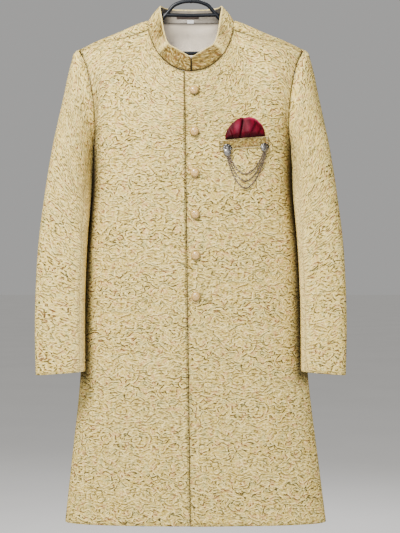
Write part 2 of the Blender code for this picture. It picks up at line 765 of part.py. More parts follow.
def seat_height(x):
    """How high the middle of an arm lies at x, touching neither the lining nor the cloth over it."""
    inner = BACK - BACK_NORMALS * (CLOTH / 2 + GAP + LINING)
    rows = inner[BODY_ROWS + 3 :]
    column = np.array([[np.interp(-x, -row[:, 0], row[:, k]) for k in (1, 2)] for row in rows])
    across = np.linspace(-TUBE, TUBE, 13)
    under = np.interp(across, column[::-1, 0], column[::-1, 1])
    return (under - np.sqrt(TUBE**2 - across**2)).min() - ARM_SEAT


def arm_line():
    """The middle of the left arm, from the apex out to its tip."""
    stations = np.linspace(ARM_CREST[-1][0] + 0.030, ARM_REACH, ARM_POINTS)
    line = list(ARM_CREST)
    for x in stations:
        last_x, last_z = line[-1]
        line.append((x, min(seat_height(x), last_z - ARM_LEAST_FALL * (x - last_x))))
    return np.array([(x, 0.0, z) for x, z in line])


def reach_at(z, radius):
    """How far out a level bar can run at height z before its end comes near an arm."""
    line = arm_line()
    places = np.linspace(0, len(line) - 1, REACH_STEPS)
    middle = np.stack([np.interp(places, range(len(line)), line[:, k]) for k in (0, 2)], axis=-1)
    reach = 0.0
    while True:
        ends = np.array(((reach, z + radius), (reach, z - radius)))
        if np.linalg.norm(middle[:, None] - ends, axis=-1).min() < TUBE + 2 * GAP:
            return reach
        reach += GAP / 2


def make_hanger():
    line = arm_line()
    for side, flip in (("left", 1.0), ("right", -1.0)):
        tube(f"hanger_arm_{side}", line * (flip, 1, 1), TUBE, "black_plastic")
    for name, z, radius in (("hanger_brace", BRACE_Z, BRACE_TUBE), ("hanger_bar", BAR_Z, BAR_TUBE)):
        reach = reach_at(z, radius)
        tube(name, [(-reach, 0, z), (0, 0, z), (reach, 0, z)], radius, "black_plastic")
    middle = HOOK_RADIUS + HOOK_TUBE
    angles = np.radians(np.linspace(HOOK_START, HOOK_END, HOOK_POINTS))
    arc = [(middle * np.cos(a), 0.0, middle * np.sin(a) - HOOK_RADIUS) for a in angles]
    stem = [(0.0, 0.0, z) for z in HOOK_STEM]
    points = stem + [HOOK_BEND] + arc
    radii = [BOSS_RADIUS, BOSS_RADIUS, HOOK_TUBE] + [HOOK_TUBE] * (len(points) - 3)
    tube("hanger_hook", points, HOOK_TUBE, "black_plastic", radii)


def main():
    for old in list(bpy.data.objects):
        bpy.data.objects.remove(old, do_unlink=True)
    collection = bpy.data.collections.new(MAIN)
    bpy.context.scene.collection.children.link(collection)
    make_front_left()
    make_front_right()
    make_back()
    make_back_lining()
    make_sleeves()
    make_collar()
    make_labels()
    make_buttons()
    make_pocket()
    make_brooches()
    make_chains()
    make_hanger()


main()
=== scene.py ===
"""Sherwani coat on a hanger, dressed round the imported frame. Metres, +Z up, front to -Y."""

import bpy
import numpy as np
from bpy.props import FloatProperty, FloatVectorProperty, IntProperty, PointerProperty
from mathutils import Matrix, Vector


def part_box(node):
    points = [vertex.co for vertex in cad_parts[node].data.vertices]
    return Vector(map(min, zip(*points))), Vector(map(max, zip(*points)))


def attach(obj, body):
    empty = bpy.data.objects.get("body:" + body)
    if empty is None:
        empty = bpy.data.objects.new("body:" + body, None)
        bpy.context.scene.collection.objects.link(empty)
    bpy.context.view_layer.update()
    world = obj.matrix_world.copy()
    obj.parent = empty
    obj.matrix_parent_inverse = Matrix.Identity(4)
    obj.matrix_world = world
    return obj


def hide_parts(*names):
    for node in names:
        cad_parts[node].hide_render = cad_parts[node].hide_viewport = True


bl_info = {
    "name": "Sherwani Coat Maker",
    "version": (1, 0, 0),
    "blender": (4, 5, 0),
    "location": "View3D > Sidebar > Sherwani",
    "description": "Builds a brocade sherwani coat on its hanger, piece by piece",
    "category": "Object",
}

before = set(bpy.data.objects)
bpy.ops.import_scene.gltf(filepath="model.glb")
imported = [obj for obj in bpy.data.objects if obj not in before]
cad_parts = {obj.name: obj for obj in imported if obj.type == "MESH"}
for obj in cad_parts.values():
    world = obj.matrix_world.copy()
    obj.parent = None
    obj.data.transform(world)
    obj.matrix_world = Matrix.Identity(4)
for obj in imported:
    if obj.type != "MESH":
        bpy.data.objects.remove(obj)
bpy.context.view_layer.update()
BODY = "root"

# ---- Sizes that the cut shares with the solids ----

# Walls of the pieces, and the space left between two of them.
GAP = 0.0003
CLOTH = 0.002
LINING = 0.001
COLLAR_WALL = 0.0022
CLOSING_SPACE = 0.0006
# Heights and places that the cut hangs from.
HEM_Z = -1.145
PIT_Z = -0.3734
SHOULDER_X = 0.229
SHOULDER_Y = -0.01
RIDGE_Z = -0.1095
SWAY = 0.0095

# The body below the arms: (height, half width, depth in front, depth behind, squareness).
BODY_RINGS = (
    (HEM_Z, 0.2685, 0.058, 0.06, 2.5),
    (-1.02, 0.2538, 0.064, 0.064, 2.5),
    (-0.862, 0.2356, 0.072, 0.068, 2.5),
    (-0.7, 0.2262, 0.08, 0.072, 2.5),
    (-0.564, 0.2166, 0.087, 0.077, 2.5),
    (-0.5, 0.208, 0.09, 0.08, 2.55),
    (-0.46, 0.2032, 0.093, 0.083, 2.6),
    (-0.415, 0.2016, 0.095, 0.085, 2.65),
    (PIT_Z, 0.203, 0.096, 0.087, 2.7),
)
TURN = 0.5

# The shoulder's ridge from the collar to the armhole: (across, up).
RIDGE = (
    (0.08, -0.1088),
    (0.0875, -0.111),
    (0.1397, -0.1314),
    (0.1977, -0.1556),
    (0.229, -0.1715),
)
# Where the back's curves touch the ridge, and the share from which they do.
RIDGE_PLACE = 0.82
RIDGE_FROM = 0.4
RIDGE_EASE = 0.08

# How far the shoulder seam lies below and in front of the ridge: (share of the way out, drop, forward).
SEAM_LINE = (
    (0.0, 0.022, 0.0),
    (0.25, 0.0215, 0.006),
    (0.48, 0.0165, 0.006),
    (0.65, 0.01, 0.003),
    (1.0, 0.004, 0.0),
)

# The seam that joins collar and body, centre back to centre front: (across, forward, up).
NECK_SEAM = (
    (0.0, 0.052, -0.107),
    (0.04, 0.046, -0.1078),
    (0.07, 0.028, -0.1092),
    (0.0865, 0.002, -0.113),
    (0.0875, -0.022, -0.133),
    (0.0793, -0.038, -0.161),
    (0.0652, -0.055, -0.188),
    (0.0473, -0.067, -0.2084),
    (0.026, -0.077, -0.2225),
    (0.0, -0.083, -0.2286),
)
SEAM_AT_SHOULDER = 4

# The top edge of the collar, at the same stations.
COLLAR_TOP = (
    (0.0, 0.046, -0.0786),
    (0.033, 0.041, -0.0788),
    (0.054, 0.025, -0.0792),
    (0.0622, 0.002, -0.0808),
    (0.059, -0.02, -0.108),
    (0.054, -0.036, -0.14),
    (0.0455, -0.053, -0.1665),
    (0.031, -0.0595, -0.1768),
    (0.0155, -0.0655, -0.1874),
    (0.0, -0.072, -0.198),
)
COLLAR_BULGE = 0.003
COLLAR_LIFT = 0.0002
CLOSING_LIFT = 0.0004
CLOSING_REACH = 0.045

# Handles of the curves over chest, back and shoulders, as steps from the curve's two ends:
# (share of the way from centre to side, start x, y, z, end x, y, z).
FRONT_HANDLES = (
    (0.0, 0.0, -0.004, 0.055, 0.0, -0.012, -0.045),
    (0.35, 0.0, -0.004, 0.06, 0.003, -0.022, -0.048),
    (0.5, -0.001, -0.006, 0.07, 0.004, -0.036, -0.056),
    (0.75, -0.006, -0.012, 0.08, -0.004, -0.06, -0.034),
    (0.9, -0.015, -0.04, 0.06, -0.0165, -0.062, -0.036),
    (1.0, -0.016, -0.07, 0.016, -0.03, -0.058, -0.05),
)
BACK_HANDLES = (
    (0.0, 0.0, 0.004, 0.08, 0.0, 0.02, -0.05),
    (0.3, 0.0, 0.004, 0.08, 0.003, 0.036, -0.03),
    (0.4, 0.0, 0.006, 0.085, 0.004, 0.044, 0.015),
    (0.5, 0.0, 0.008, 0.09, 0.002, 0.05, 0.09),
    (0.75, 0.0, 0.014, 0.085, -0.002, 0.058, 0.026),
    (1.0, 0.0, 0.076, 0.018, -0.01, 0.056, 0.008),
)

# The sleeve hanging from the armhole, wearer's left, armhole to cuff:
# (outer x, outer z, inner x, inner z, centre y, half depth, squareness).
SLEEVE_RINGS = (
    (0.229, -0.1785, 0.205, -0.3734, -0.001, 0.05, 2.0),
    (0.241, -0.186, 0.2064, -0.392, -0.004, 0.057, 2.0),
    (0.2508, -0.219, 0.2066, -0.412, -0.009, 0.061, 2.0),
    (0.2595, -0.264, 0.207, -0.435, -0.016, 0.061, 2.1),
    (0.2705, -0.318, 0.2079, -0.462, -0.026, 0.057, 2.3),
    (0.2812, -0.3751, 0.2094, -0.492, -0.036, 0.051, 2.6),
    (0.2942, -0.4645, 0.2128, -0.542, -0.047, 0.043, 2.9),
    (0.3056, -0.564, 0.216, -0.61, -0.057, 0.037, 3.1),
    (0.3112, -0.663, 0.2183, -0.69, -0.063, 0.034, 3.2),
    (0.3122, -0.75, 0.219, -0.762, -0.068, 0.032, 3.3),
    (0.3102, -0.836, 0.2187, -0.829, -0.071, 0.031, 3.3),
)
SLEEVE_SETTLE = (1.0, 0.62, 0.34, 0.15, 0.04, 0.0, 0.0, 0.0, 0.0, 0.0, 0.0)
SLEEVE_SWAY = 0.7
UNDERARM_CLEARANCE = (1.0, 1.0, 0.9, 0.4, 0.0)
ARMHOLE_CLEARANCE = 0.0007
SEAM_ROWS = 9
FRONT_SEAM_ROW = 2
BACK_SEAM_ROW = 3

# The closing.
EDGE_TOP_X = -0.0135
EDGE_HEM_X = -0.0112
UNDERLAP_X = 0.024
UNDERLAP_SHARE = 0.75
BLEND_X = 0.1
BUTTON_TOP_Z = -0.2673
BUTTON_PITCH = 0.0822
BUTTON_COUNT = 6
BUTTON_X = 0.0052

# How finely the cloth is drawn.
BODY_ROWS = 150
YOKE_ROWS = 45
NECK_COLUMNS = 32
NECK_SPREAD = 1.25
SHOULDER_COLUMNS = 26
SIDE_COLUMNS = NECK_COLUMNS + SHOULDER_COLUMNS
OWN_FROM = 7
CLOSING_SHARES = (0.0, 0.05, 0.12, 0.22, 0.36, 0.52, 0.68, 0.84, 1.0)
GROOVE_SHARES = (0.7, 0.4, 0.19, 0.07)
SLEEVE_ROWS = 130
COLLAR_ROWS = 10
RIM_STEPS = (45, 90, 135)

# The camera's place, and the size of one image step on the plane through the hook.
IMAGE_WIDTH = 400
CAMERA_DISTANCE = 2.6
STEP_AT_HOOK = 0.00207
CAMERA_X = 0.0186
CAMERA_Z = -0.6187
SENSOR = 36.0


# ---- Settings that a user may change ----


def colour(name, description, value):
    return FloatVectorProperty(
        name=name, description=description, subtype="COLOR", size=3, min=0, max=1, default=value
    )


def length(name, description, value):
    return FloatProperty(
        name=name, description=description, default=value, min=0, unit="LENGTH", precision=4
    )


def power(name, description, value):
    return FloatProperty(name=name, description=description, default=value, min=0, unit="POWER")


class ClothSettings(bpy.types.PropertyGroup):
    ground: colour("Ground", "Colour of the brocade's ground", (0.56, 0.408, 0.096))
    line: colour("Line", "Colour of the brocade's sunk lines", (0.062, 0.043, 0.014))
    line_warm: colour("Warm line", "Colour of the sunk lines in the warm patches", (0.17, 0.075, 0.028))
    blush: colour("Blush", "Colour of the brocade's warm patches", (0.61, 0.368, 0.14))
    sage: colour("Sage", "Colour of the brocade's cool patches", (0.46, 0.405, 0.148))
    shade: colour("Shade", "Colour of the deep shade along seams and sleeves", (0.016, 0.01, 0.0055))
    # glint: colour of the painted highlights beside the lines and on lit creases and edges, and of the
    # grain's bright threads.
    glint: colour("Glint", "Colour of the raised threads beside the lines", (0.94, 0.74, 0.3))
    # collar_tone: colour of the painted shade on the collar's front, and of the darker tone of the collar's
    # sides and the welt.
    collar_tone: colour("Collar tone", "Ground colour of the collar's front", (0.112, 0.062, 0.013))
    lining: colour("Lining", "Colour of the satin lining", (0.93, 0.81, 0.64))
    fold_depth: length("Fold depth", "Height of the cloth's deepest soft folds", 0.002)
    rim: length("Edge roundness", "Radius of a sewn edge", 0.001)


class TrimSettings(bpy.types.PropertyGroup):
    button_cloth: colour("Button cloth", "Colour of the covered buttons", (0.52, 0.31, 0.07))
    crimson: colour("Pocket square", "Colour of the pocket square's satin", (0.055, 0.0006, 0.0045))
    silver: colour("Silver", "Colour of the brooches and chains", (0.26, 0.245, 0.225))
    plastic: colour("Hanger", "Colour of the hanger's plastic", (0.003, 0.0042, 0.007))
    button_radius: length("Button radius", "Radius of a button", 0.0097)
    button_height: length("Button height", "Height of a button's dome", 0.0092)
    link_radius: length("Link radius", "Radius of a chain link", 0.0012)
    petals: IntProperty(name="Petals", description="Petals round each brooch", default=8, min=5, max=16)


class StageSettings(bpy.types.PropertyGroup):
    floor: colour("Floor", "Colour of the floor", (0.96, 0.95, 0.93))
    key_power: power("Key light", "Power of the key light", 128.0)
    fill_power: power("Fill light", "Power of the fill light", 36.0)
    back_power: power("Back light", "Power of the light behind", 60.0)
    floor_drop: length("Floor drop", "How far the floor lies below the hem", 0.55)


def cloth_settings():
    return bpy.context.scene.sherwani_cloth


def trim_settings():
    return bpy.context.scene.sherwani_trim


def stage_settings():
    return bpy.context.scene.sherwani_stage


# ---- The cut, as grids of points ----


def bell(x, width):
    """1 where x is 0, falling away to both sides over the width given."""
    return np.exp(-((x / width) ** 2))


def read_line(table, x):
    """Reads a table of places and values by the straight lines between its rows."""
    return np.interp(x, *zip(*table))


def unit(vectors):
    return vectors / np.maximum(np.linalg.norm(vectors, axis=-1, keepdims=True), 1e-9)


def smooth(knots, values, x):
    """Reads a smooth curve through values at knots."""
    knots, values, x = np.asarray(knots, float), np.asarray(values, float), np.asarray(x, float)
    values = values.reshape(len(knots), -1)
    slopes = np.gradient(values, knots, axis=0)
    low = np.clip(np.searchsorted(knots, x, side="right") - 1, 0, len(knots) - 2)
    width = (knots[low + 1] - knots[low])[..., None]
    u = np.clip((x - knots[low])[..., None] / width, 0, 1)
    return (
        values[low] * (2 * u**3 - 3 * u**2 + 1)
        + slopes[low] * width * (u**3 - 2 * u**2 + u)
        + values[low + 1] * (3 * u**2 - 2 * u**3)
        + slopes[low + 1] * width * (u**3 - u**2)
    )


def table_at(table, x):
    """Reads a table by its first column, smoothly."""
    rows = np.array(table, float)
    return smooth(rows[:, 0], rows[:, 1:], x)


def stations(table, places):
    """Reads a table by row number, smoothly."""
    return smooth(np.arange(len(table)), np.array(table, float), places)


def ring_points(z, shares, side):
    """The body's ring at each height z, at each share of the way from centre to side."""
    half, front, back, square = np.moveaxis(table_at(BODY_RINGS, z), -1, 0)[..., None]
    angle = shares * np.pi / 2
    x = half * np.sin(angle) ** (2 / square)
    y = side * (front if side < 0 else back) * np.abs(np.cos(angle)) ** (2 / square)
    return np.stack([x, y, np.broadcast_to(z[:, None], x.shape)], axis=-1)


def ridge_height(x):
    return table_at(RIDGE, np.clip(x, RIDGE[0][0], RIDGE[-1][0]))[..., 0]


def neck_place(share, side):
    """Where a column meets the neckline, as a row number of its table."""
    last = len(NECK_SEAM) - 1
    if side < 0:
        return last - (last - SEAM_AT_SHOULDER) * share / TURN
    return SEAM_AT_SHOULDER * share / TURN


def top_edge(share, side):
    """The yoke's top edge: the neckline from the centre to the shoulder seam, then along that seam."""
    if share < TURN:
        return stations(NECK_SEAM, neck_place(share, side))
    along = (share - TURN) / (1 - TURN)
    start = np.array(NECK_SEAM[SEAM_AT_SHOULDER])
    x = start[0] + along * (SHOULDER_X - start[0])
    drop, forward = table_at(SEAM_LINE, along)
    y = start[1] + along * (SHOULDER_Y - start[1]) - forward
    return np.array((x, y, ridge_height(x) - drop))


def yoke_column(share, side, t):
    """A column of the yoke, from the line under the arms (t 0) to the top edge (t 1)."""
    start = ring_points(np.array([PIT_Z]), np.array([share]), side)[0, 0]
    end = top_edge(share, side)
    handle = table_at(FRONT_HANDLES if side < 0 else BACK_HANDLES, share)
    first = start + handle[:3]
    second = end + handle[3:]
    if side > 0:
        # Near the shoulder, the handle's height is the one that brings the curve up to the ridge.
        top = ridge_height(abs(end[0])) - CLOTH / 2
        u = 1 - RIDGE_PLACE
        rest = u**3 * start[2] + 3 * u * u * RIDGE_PLACE * first[2] + RIDGE_PLACE**3 * end[2]
        wanted = (top - rest) / (3 * u * RIDGE_PLACE**2)
        ease = np.clip((share - RIDGE_FROM + RIDGE_EASE / 2) / RIDGE_EASE, 0, 1)
        second[2] += (wanted - second[2]) * ease * ease * (3 - 2 * ease)
    t = t[:, None]
    u = 1 - t
    return u**3 * start + 3 * u * u * t * first + 3 * u * t * t * second + t**3 * end


def column_shares():
    """Shares of the way from centre to side, evenly spaced in width, with one at the neck's turn."""
    neck = TURN * np.linspace(0, 1, NECK_COLUMNS + 1) ** NECK_SPREAD
    return np.concatenate([neck, np.linspace(TURN, 1, SHOULDER_COLUMNS + 1)[1:]])


def half_panel(side):
    shares = column_shares()
    below = ring_points(np.linspace(HEM_Z, PIT_Z, BODY_ROWS + 1)[:-1], shares, side)
    t = np.linspace(0, 1, YOKE_ROWS + 1)
    above = np.stack([yoke_column(share, side, t) for share in shares], axis=1)
    return np.concatenate([below, above])


def mirrored(points):
    return points * np.array((-1.0, 1.0, 1.0))


def lean(z):
    """The sway of the hanging body at height z."""
    return SWAY * np.clip((RIDGE_Z - z) / (RIDGE_Z - HEM_Z), 0, 1)


def swayed(points):
    out = np.array(points, float)
    out[..., 0] += lean(out[..., 2])
    return out


def normals_of(grid):
    return unit(np.cross(np.gradient(grid, axis=1), np.gradient(grid, axis=0)))


def body_grids():
    """The whole front and back with their normals, which agree along every seam that the two share."""
    half_front, half_back = half_panel(-1), half_panel(1)
    front = np.concatenate([mirrored(half_front[:, :0:-1]), half_front], axis=1)
    back = np.concatenate([half_back[:, ::-1], mirrored(half_back[:, 1:])], axis=1)
    front_normals, back_normals = normals_of(front), normals_of(back)
    for j in (0, -1):
        mean = unit(front_normals[:, j] + back_normals[:, -1 - j])[: BODY_ROWS + 1]
        front_normals[: BODY_ROWS + 1, j] = back_normals[: BODY_ROWS + 1, -1 - j] = mean
    mean = unit(front_normals[-1] + back_normals[-1, ::-1])
    far = np.abs(np.arange(2 * SIDE_COLUMNS + 1) - SIDE_COLUMNS) >= NECK_COLUMNS
    front_normals[-1, far] = mean[far]
    back_normals[-1, ::-1][far] = mean[far]
    return front, front_normals, back, back_normals


def read_row(row, values, places):
    """Reads values along a row of points at the given places across, which run the same way."""
    return np.stack([np.interp(places, row[:, 0], values[:, k]) for k in range(values.shape[1])], axis=-1)


def closing_edge(z):
    """Where the left front's edge lies across the closing, at height z."""
    return np.interp(z, (HEM_Z, BUTTON_TOP_Z), (EDGE_HEM_X, EDGE_TOP_X))


def closing_ease(x):
    """1 on the overlap at the closing, easing to 0 towards the side."""
    share = np.clip((BLEND_X - x) / (BLEND_X - UNDERLAP_X), 0, 1)
    return share * share * (3 - 2 * share)


def front_columns(front, normals, keep_left):
    """One front's grid: its own half, and the closing that both fronts share."""
    points, turned = [], []
    for row, row_normals in zip(front, normals):
        own = row[SIDE_COLUMNS + OWN_FROM :, 0]
        past = min(UNDERLAP_X, UNDERLAP_SHARE * own[0])
        edge = closing_edge(row[SIDE_COLUMNS, 2])
        closing = edge + (past - edge) * np.array(CLOSING_SHARES)
        groove = edge - (own[0] + edge) * np.array(GROOVE_SHARES)
        places = np.concatenate([closing, own] if keep_left else [-own[::-1], groove, closing])
        points.append(read_row(row, row, places))
        turned.append(unit(read_row(row, row_normals, places)))
    return np.array(points), np.array(turned)


def arc_map(grid, across_zero):
    """Cloth coordinates of a grid in metres: across from the place where x is across_zero, and up."""
    steps = np.linalg.norm(np.diff(grid, axis=1), axis=-1)
    across = np.concatenate([np.zeros((len(grid), 1)), np.cumsum(steps, axis=1)], axis=1)
    for i, row in enumerate(grid[..., 0]):
        rising = row if row[-1] > row[0] else -row
        zero = across_zero if row[-1] > row[0] else -across_zero
        across[i] -= np.interp(zero, rising, across[i])
    middle = grid.shape[1] // 2
    up = np.linalg.norm(np.diff(grid[:, middle], axis=0), axis=-1)
    up = np.concatenate([[0], np.cumsum(up)])
    return np.stack([across, np.broadcast_to(up[:, None], across.shape)], axis=-1)


# ---- Soft folds, as heights over the smooth cloth ----


FOLD_FADE = 3
FOLD_END = 0.15


def ridge_line(x, z, start, end, width, lift):
    """A soft ridge (or trough, where lift is negative) from start to end, fading at both ends."""
    (x0, z0), (x1, z1) = start, end
    span = np.hypot(x1 - x0, z1 - z0)
    along = ((x - x0) * (x1 - x0) + (z - z0) * (z1 - z0)) / span**2
    off = ((x - x0) * (z1 - z0) - (z - z0) * (x1 - x0)) / span
    fade = np.clip(np.minimum(along, 1 - along) * FOLD_FADE + FOLD_END, 0, 1)
    return lift * np.exp(-((off / width) ** 2)) * fade * fade * (3 - 2 * fade)


# Folds of the fronts and back: (start x, start z, end x, end z, width, share of the fold depth).
FRONT_FOLDS = (
    (0.185, -0.33, 0.12, -0.47, 0.016, -0.55),
    (0.198, -0.36, 0.15, -0.56, 0.018, 0.45),
    (-0.18, -0.34, -0.118, -0.455, 0.017, -0.45),
    (-0.192, -0.37, -0.15, -0.59, 0.02, 0.5),
    (0.13, -0.64, 0.168, -1.16, 0.03, 0.55),
    (0.075, -0.72, 0.088, -1.16, 0.026, -0.4),
    (0.19, -0.7, 0.232, -1.16, 0.022, -0.5),
    (-0.118, -0.66, -0.15, -1.16, 0.032, -0.5),
    (-0.06, -0.76, -0.07, -1.16, 0.026, 0.4),
    (-0.182, -0.62, -0.218, -1.16, 0.024, 0.55),
    (0.105, -0.16, 0.155, -0.235, 0.014, -0.35),
    (-0.11, -0.165, -0.16, -0.24, 0.015, -0.3),
)
BACK_FOLDS = (
    (0.178, -0.33, 0.11, -0.48, 0.018, -0.8),
    (0.19, -0.38, 0.14, -0.62, 0.02, 0.7),
    (-0.176, -0.325, -0.105, -0.47, 0.018, -0.75),
    (-0.192, -0.39, -0.146, -0.64, 0.022, 0.6),
    (0.0, -0.135, 0.0, -0.33, 0.04, -0.4),
    (0.048, -0.62, 0.062, -1.16, 0.03, 0.85),
    (-0.052, -0.6, -0.07, -1.16, 0.028, -0.75),
    (0.128, -0.7, 0.16, -1.16, 0.032, -0.8),
    (-0.134, -0.68, -0.168, -1.16, 0.03, 0.9),
    (0.205, -0.76, 0.236, -1.16, 0.022, 0.6),
    (-0.206, -0.74, -0.238, -1.16, 0.024, -0.55),
    (0.06, -0.15, 0.12, -0.24, 0.018, -0.45),
    (-0.064, -0.15, -0.122, -0.25, 0.018, -0.4),
)
# Creases of a sleeve: (start angle in degrees from under the arm, start z, end angle, end z, width, share).
SLEEVE_FOLDS = (
    (300, -0.455, 345, -0.5, 0.012, -0.85),
    (310, -0.48, 352, -0.545, 0.013, 0.75),
    (292, -0.52, 350, -0.575, 0.013, -0.9),
    (300, -0.56, 340, -0.62, 0.015, 0.6),
    (60, -0.47, 20, -0.52, 0.014, -0.8),
    (75, -0.5, 25, -0.57, 0.015, 0.7),
    (200, -0.25, 220, -0.36, 0.016, -0.5),
    (240, -0.26, 262, -0.34, 0.014, 0.45),
    (120, -0.24, 100, -0.35, 0.018, -0.55),
    (210, -0.64, 250, -0.76, 0.02, 0.45),
    (140, -0.6, 110, -0.72, 0.022, -0.5),
)
# Slow waves of the cloth: (radians a metre across, radians a metre up, start, share of the fold depth).
WOBBLES = (
    (31.0, 13.0, 0.4, 0.22),
    (19.0, -23.0, 1.9, 0.2),
    (-43.0, 29.0, 3.1, 0.12),
    (57.0, 41.0, 0.9, 0.08),
)
PANEL_WOBBLE = 0.5
SLEEVE_WOBBLE = 0.6
SLEEVE_WOBBLE_TURN = 2
# Length of cloth round the arm in one degree.
ARM_DEGREE = 0.00085


def wobble(a, b):
    """A slow uneven swell of the cloth, so that no stretch is quite smooth."""
    return sum(size * np.sin(p * a + q * b + shift) for p, q, shift, size in WOBBLES)


def panel_folds(grid, folds):
    depth = cloth_settings().fold_depth
    x, z = grid[..., 0], grid[..., 2]
    height = wobble(x, z) * PANEL_WOBBLE
    for x0, z0, x1, z1, width, share in folds:
        height = height + ridge_line(x, z, (x0, z0), (x1, z1), width, share)
    return height * depth


def button_spots(x, z, size):
    """1 at each button's place on the closing, falling away over the size given."""
    spots = np.zeros_like(x)
    for k in range(BUTTON_COUNT):
        away = np.hypot(x - BUTTON_X, z - (BUTTON_TOP_Z - k * BUTTON_PITCH))
        spots += bell(away, size)
    return spots


def sleeve_folds(grid, angles):
    depth = cloth_settings().fold_depth
    z = grid[..., 2]
    degrees = np.broadcast_to(angles, z.shape)
    around = degrees * ARM_DEGREE
    height = wobble(around * SLEEVE_WOBBLE_TURN, z) * SLEEVE_WOBBLE
    for a0, z0, a1, z1, width, share in folds_round():
        height = height + ridge_line(around, z, (a0 * ARM_DEGREE, z0), (a1 * ARM_DEGREE, z1), width, share)
    return height * depth


def folds_round():
    """The sleeve's creases, and once more a full turn on, so that they close under the arm."""
    for a0, z0, a1, z1, width, share in SLEEVE_FOLDS:
        yield a0, z0, a1, z1, width, share
        yield a0 - 360, z0, a1 - 360, z1, width, share


# ---- Meshes ----


def drawn_in(grid, amounts):
    """The grid with its edges drawn in, by (first row, last row, first column, last column) amounts."""
    out = grid.copy()
    for axis, pair in ((0, amounts[:2]), (1, amounts[2:])):
        view = np.moveaxis(out, axis, 0)
        for end, inner, amount in ((0, 1, pair[0]), (-1, -2, pair[1])):
            view[end] += unit(view[inner] - view[end]) * amount
    return out


def run_from(grid, axis, end):
    """How far each point lies along the cloth from one end of its row (axis 1) or column (axis 0)."""
    steps = np.linalg.norm(np.diff(grid, axis=axis), axis=-1)
    start = np.zeros_like(np.take(steps, [0], axis=axis))
    run = np.concatenate([start, np.cumsum(steps, axis=axis)], axis=axis)
    return run if end == 0 else np.take(run, [-1], axis=axis) - run


def edge_distance(grid):
    """How far each point lies from the nearest edge of its piece, along the cloth."""
    return np.minimum.reduce([run_from(grid, axis, end) for axis in (0, 1) for end in (0, -1)])


def quads(rows, columns, start=0):
    i, j = np.meshgrid(np.arange(rows - 1), np.arange(columns - 1), indexing="ij")
    a = (start + i * columns + j).ravel()
    return np.stack([a, a + 1, a + columns + 1, a + columns], axis=1)


def grid_rim(rows, columns):
    """The grid's outer vertices in order round it, as (row, column)."""
    top = [(0, j) for j in range(columns)]
    right = [(i, columns - 1) for i in range(1, rows)]
    bottom = [(rows - 1, j) for j in range(columns - 2, -1, -1)]
    left = [(i, 0) for i in range(rows - 2, 0, -1)]
    return np.array(top + right + bottom + left)


# Width of the darker band round every piece of cloth: painted seam shade, and dirt on the pressed edge.
EDGE_SHADE_AND_DIRT_BAND = 0.0045


def placed(name, data):
    made = bpy.data.objects.new(name, data)
    bpy.context.scene.collection.objects.link(made)
    return made


def shell(name, grid, normals, half, uv, tone=None, shade=None, lit=None):
    """A thin closed shell with rounded edges, half a wall to each side of a grid of points."""
    rows, columns = grid.shape[:2]
    outer, inner = grid + normals * half, grid - normals * half
    rim = grid_rim(rows, columns)
    r, c = rim[:, 0], rim[:, 1]
    edge, edge_normals = grid[r, c], normals[r, c]
    inside = grid[np.clip(r, 1, rows - 2), np.clip(c, 1, columns - 2)]
    away = edge - inside
    away = unit(away - (away * edge_normals).sum(-1, keepdims=True) * edge_normals)
    rings = [
        edge + half * (np.cos(np.radians(turn)) * edge_normals + np.sin(np.radians(turn)) * away)
        for turn in RIM_STEPS
    ]
    count = rows * columns
    verts = np.concatenate([outer.reshape(-1, 3), inner.reshape(-1, 3), *rings])
    place = r * columns + c
    loops = [2 * count + k * len(rim) + np.arange(len(rim)) for k in range(len(rings))]
    loops = [place, *loops, place + count]
    faces = [quads(rows, columns)[:, ::-1], quads(rows, columns, count)]
    for near, far in zip(loops, loops[1:]):
        faces.append(np.stack([near, np.roll(near, -1), np.roll(far, -1), far], axis=1))
    faces = np.concatenate(faces)
    first = verts[faces[: (rows - 1) * (columns - 1)]]
    facing = np.cross(first[:, 1] - first[:, 0], first[:, 2] - first[:, 0])
    if (facing * normals[:-1, :-1].reshape(-1, 3)).sum() < 0:
        faces = faces[:, ::-1]
    mesh = bpy.data.meshes.new(name)
    mesh.from_pydata(verts.tolist(), [], faces.tolist())
    source = np.concatenate([np.arange(count), np.arange(count)] + [place] * len(rings))
    flat_uv = uv.reshape(-1, 2)[source]
    layer = mesh.uv_layers.new(name="cloth")
    corner = np.zeros(len(mesh.loops), int)
    mesh.loops.foreach_get("vertex_index", corner)
    layer.data.foreach_set("uv", flat_uv[corner].astype(np.float32).ravel())
    # The edge band: painted seam shade and dirt, strongest at the piece's edges.
    write_values(mesh, "edge", bell(edge_distance(grid), EDGE_SHADE_AND_DIRT_BAND).ravel()[source])
    for key, values in (("tone", tone), ("shade", shade), ("lit", lit)):
        values = np.zeros(grid.shape[:2]) if values is None else values
        write_values(mesh, key, values.ravel()[source])
    mesh.polygons.foreach_set("use_smooth", [True] * len(mesh.polygons))
    mesh.validate()
    return placed(name, mesh)


def write_values(mesh, name, values):
    attribute = mesh.attributes.get(name) or mesh.attributes.new(name, "FLOAT", "POINT")
    attribute.data.foreach_set("value", np.asarray(values, np.float32))


def read_values(mesh, name):
    return np.array([item.value for item in mesh.attributes[name].data])


def cloth_piece(obj, node, material):
    """Dresses a sheet of cloth and puts it in its node's place."""
    obj.data.materials.append(material)
    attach(obj, BODY)
    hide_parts(node)
    uv = np.zeros(len(obj.data.loops) * 2, np.float32)
    obj.data.uv_layers["cloth"].data.foreach_get("uv", uv)


def hard_piece(obj, nodes, material):
    obj.data.materials.clear()
    obj.data.materials.append(material)
    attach(obj, BODY)
    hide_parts(*nodes)


# ---- Finishes ----


def is_output(value):
    return isinstance(value, bpy.types.NodeSocket)


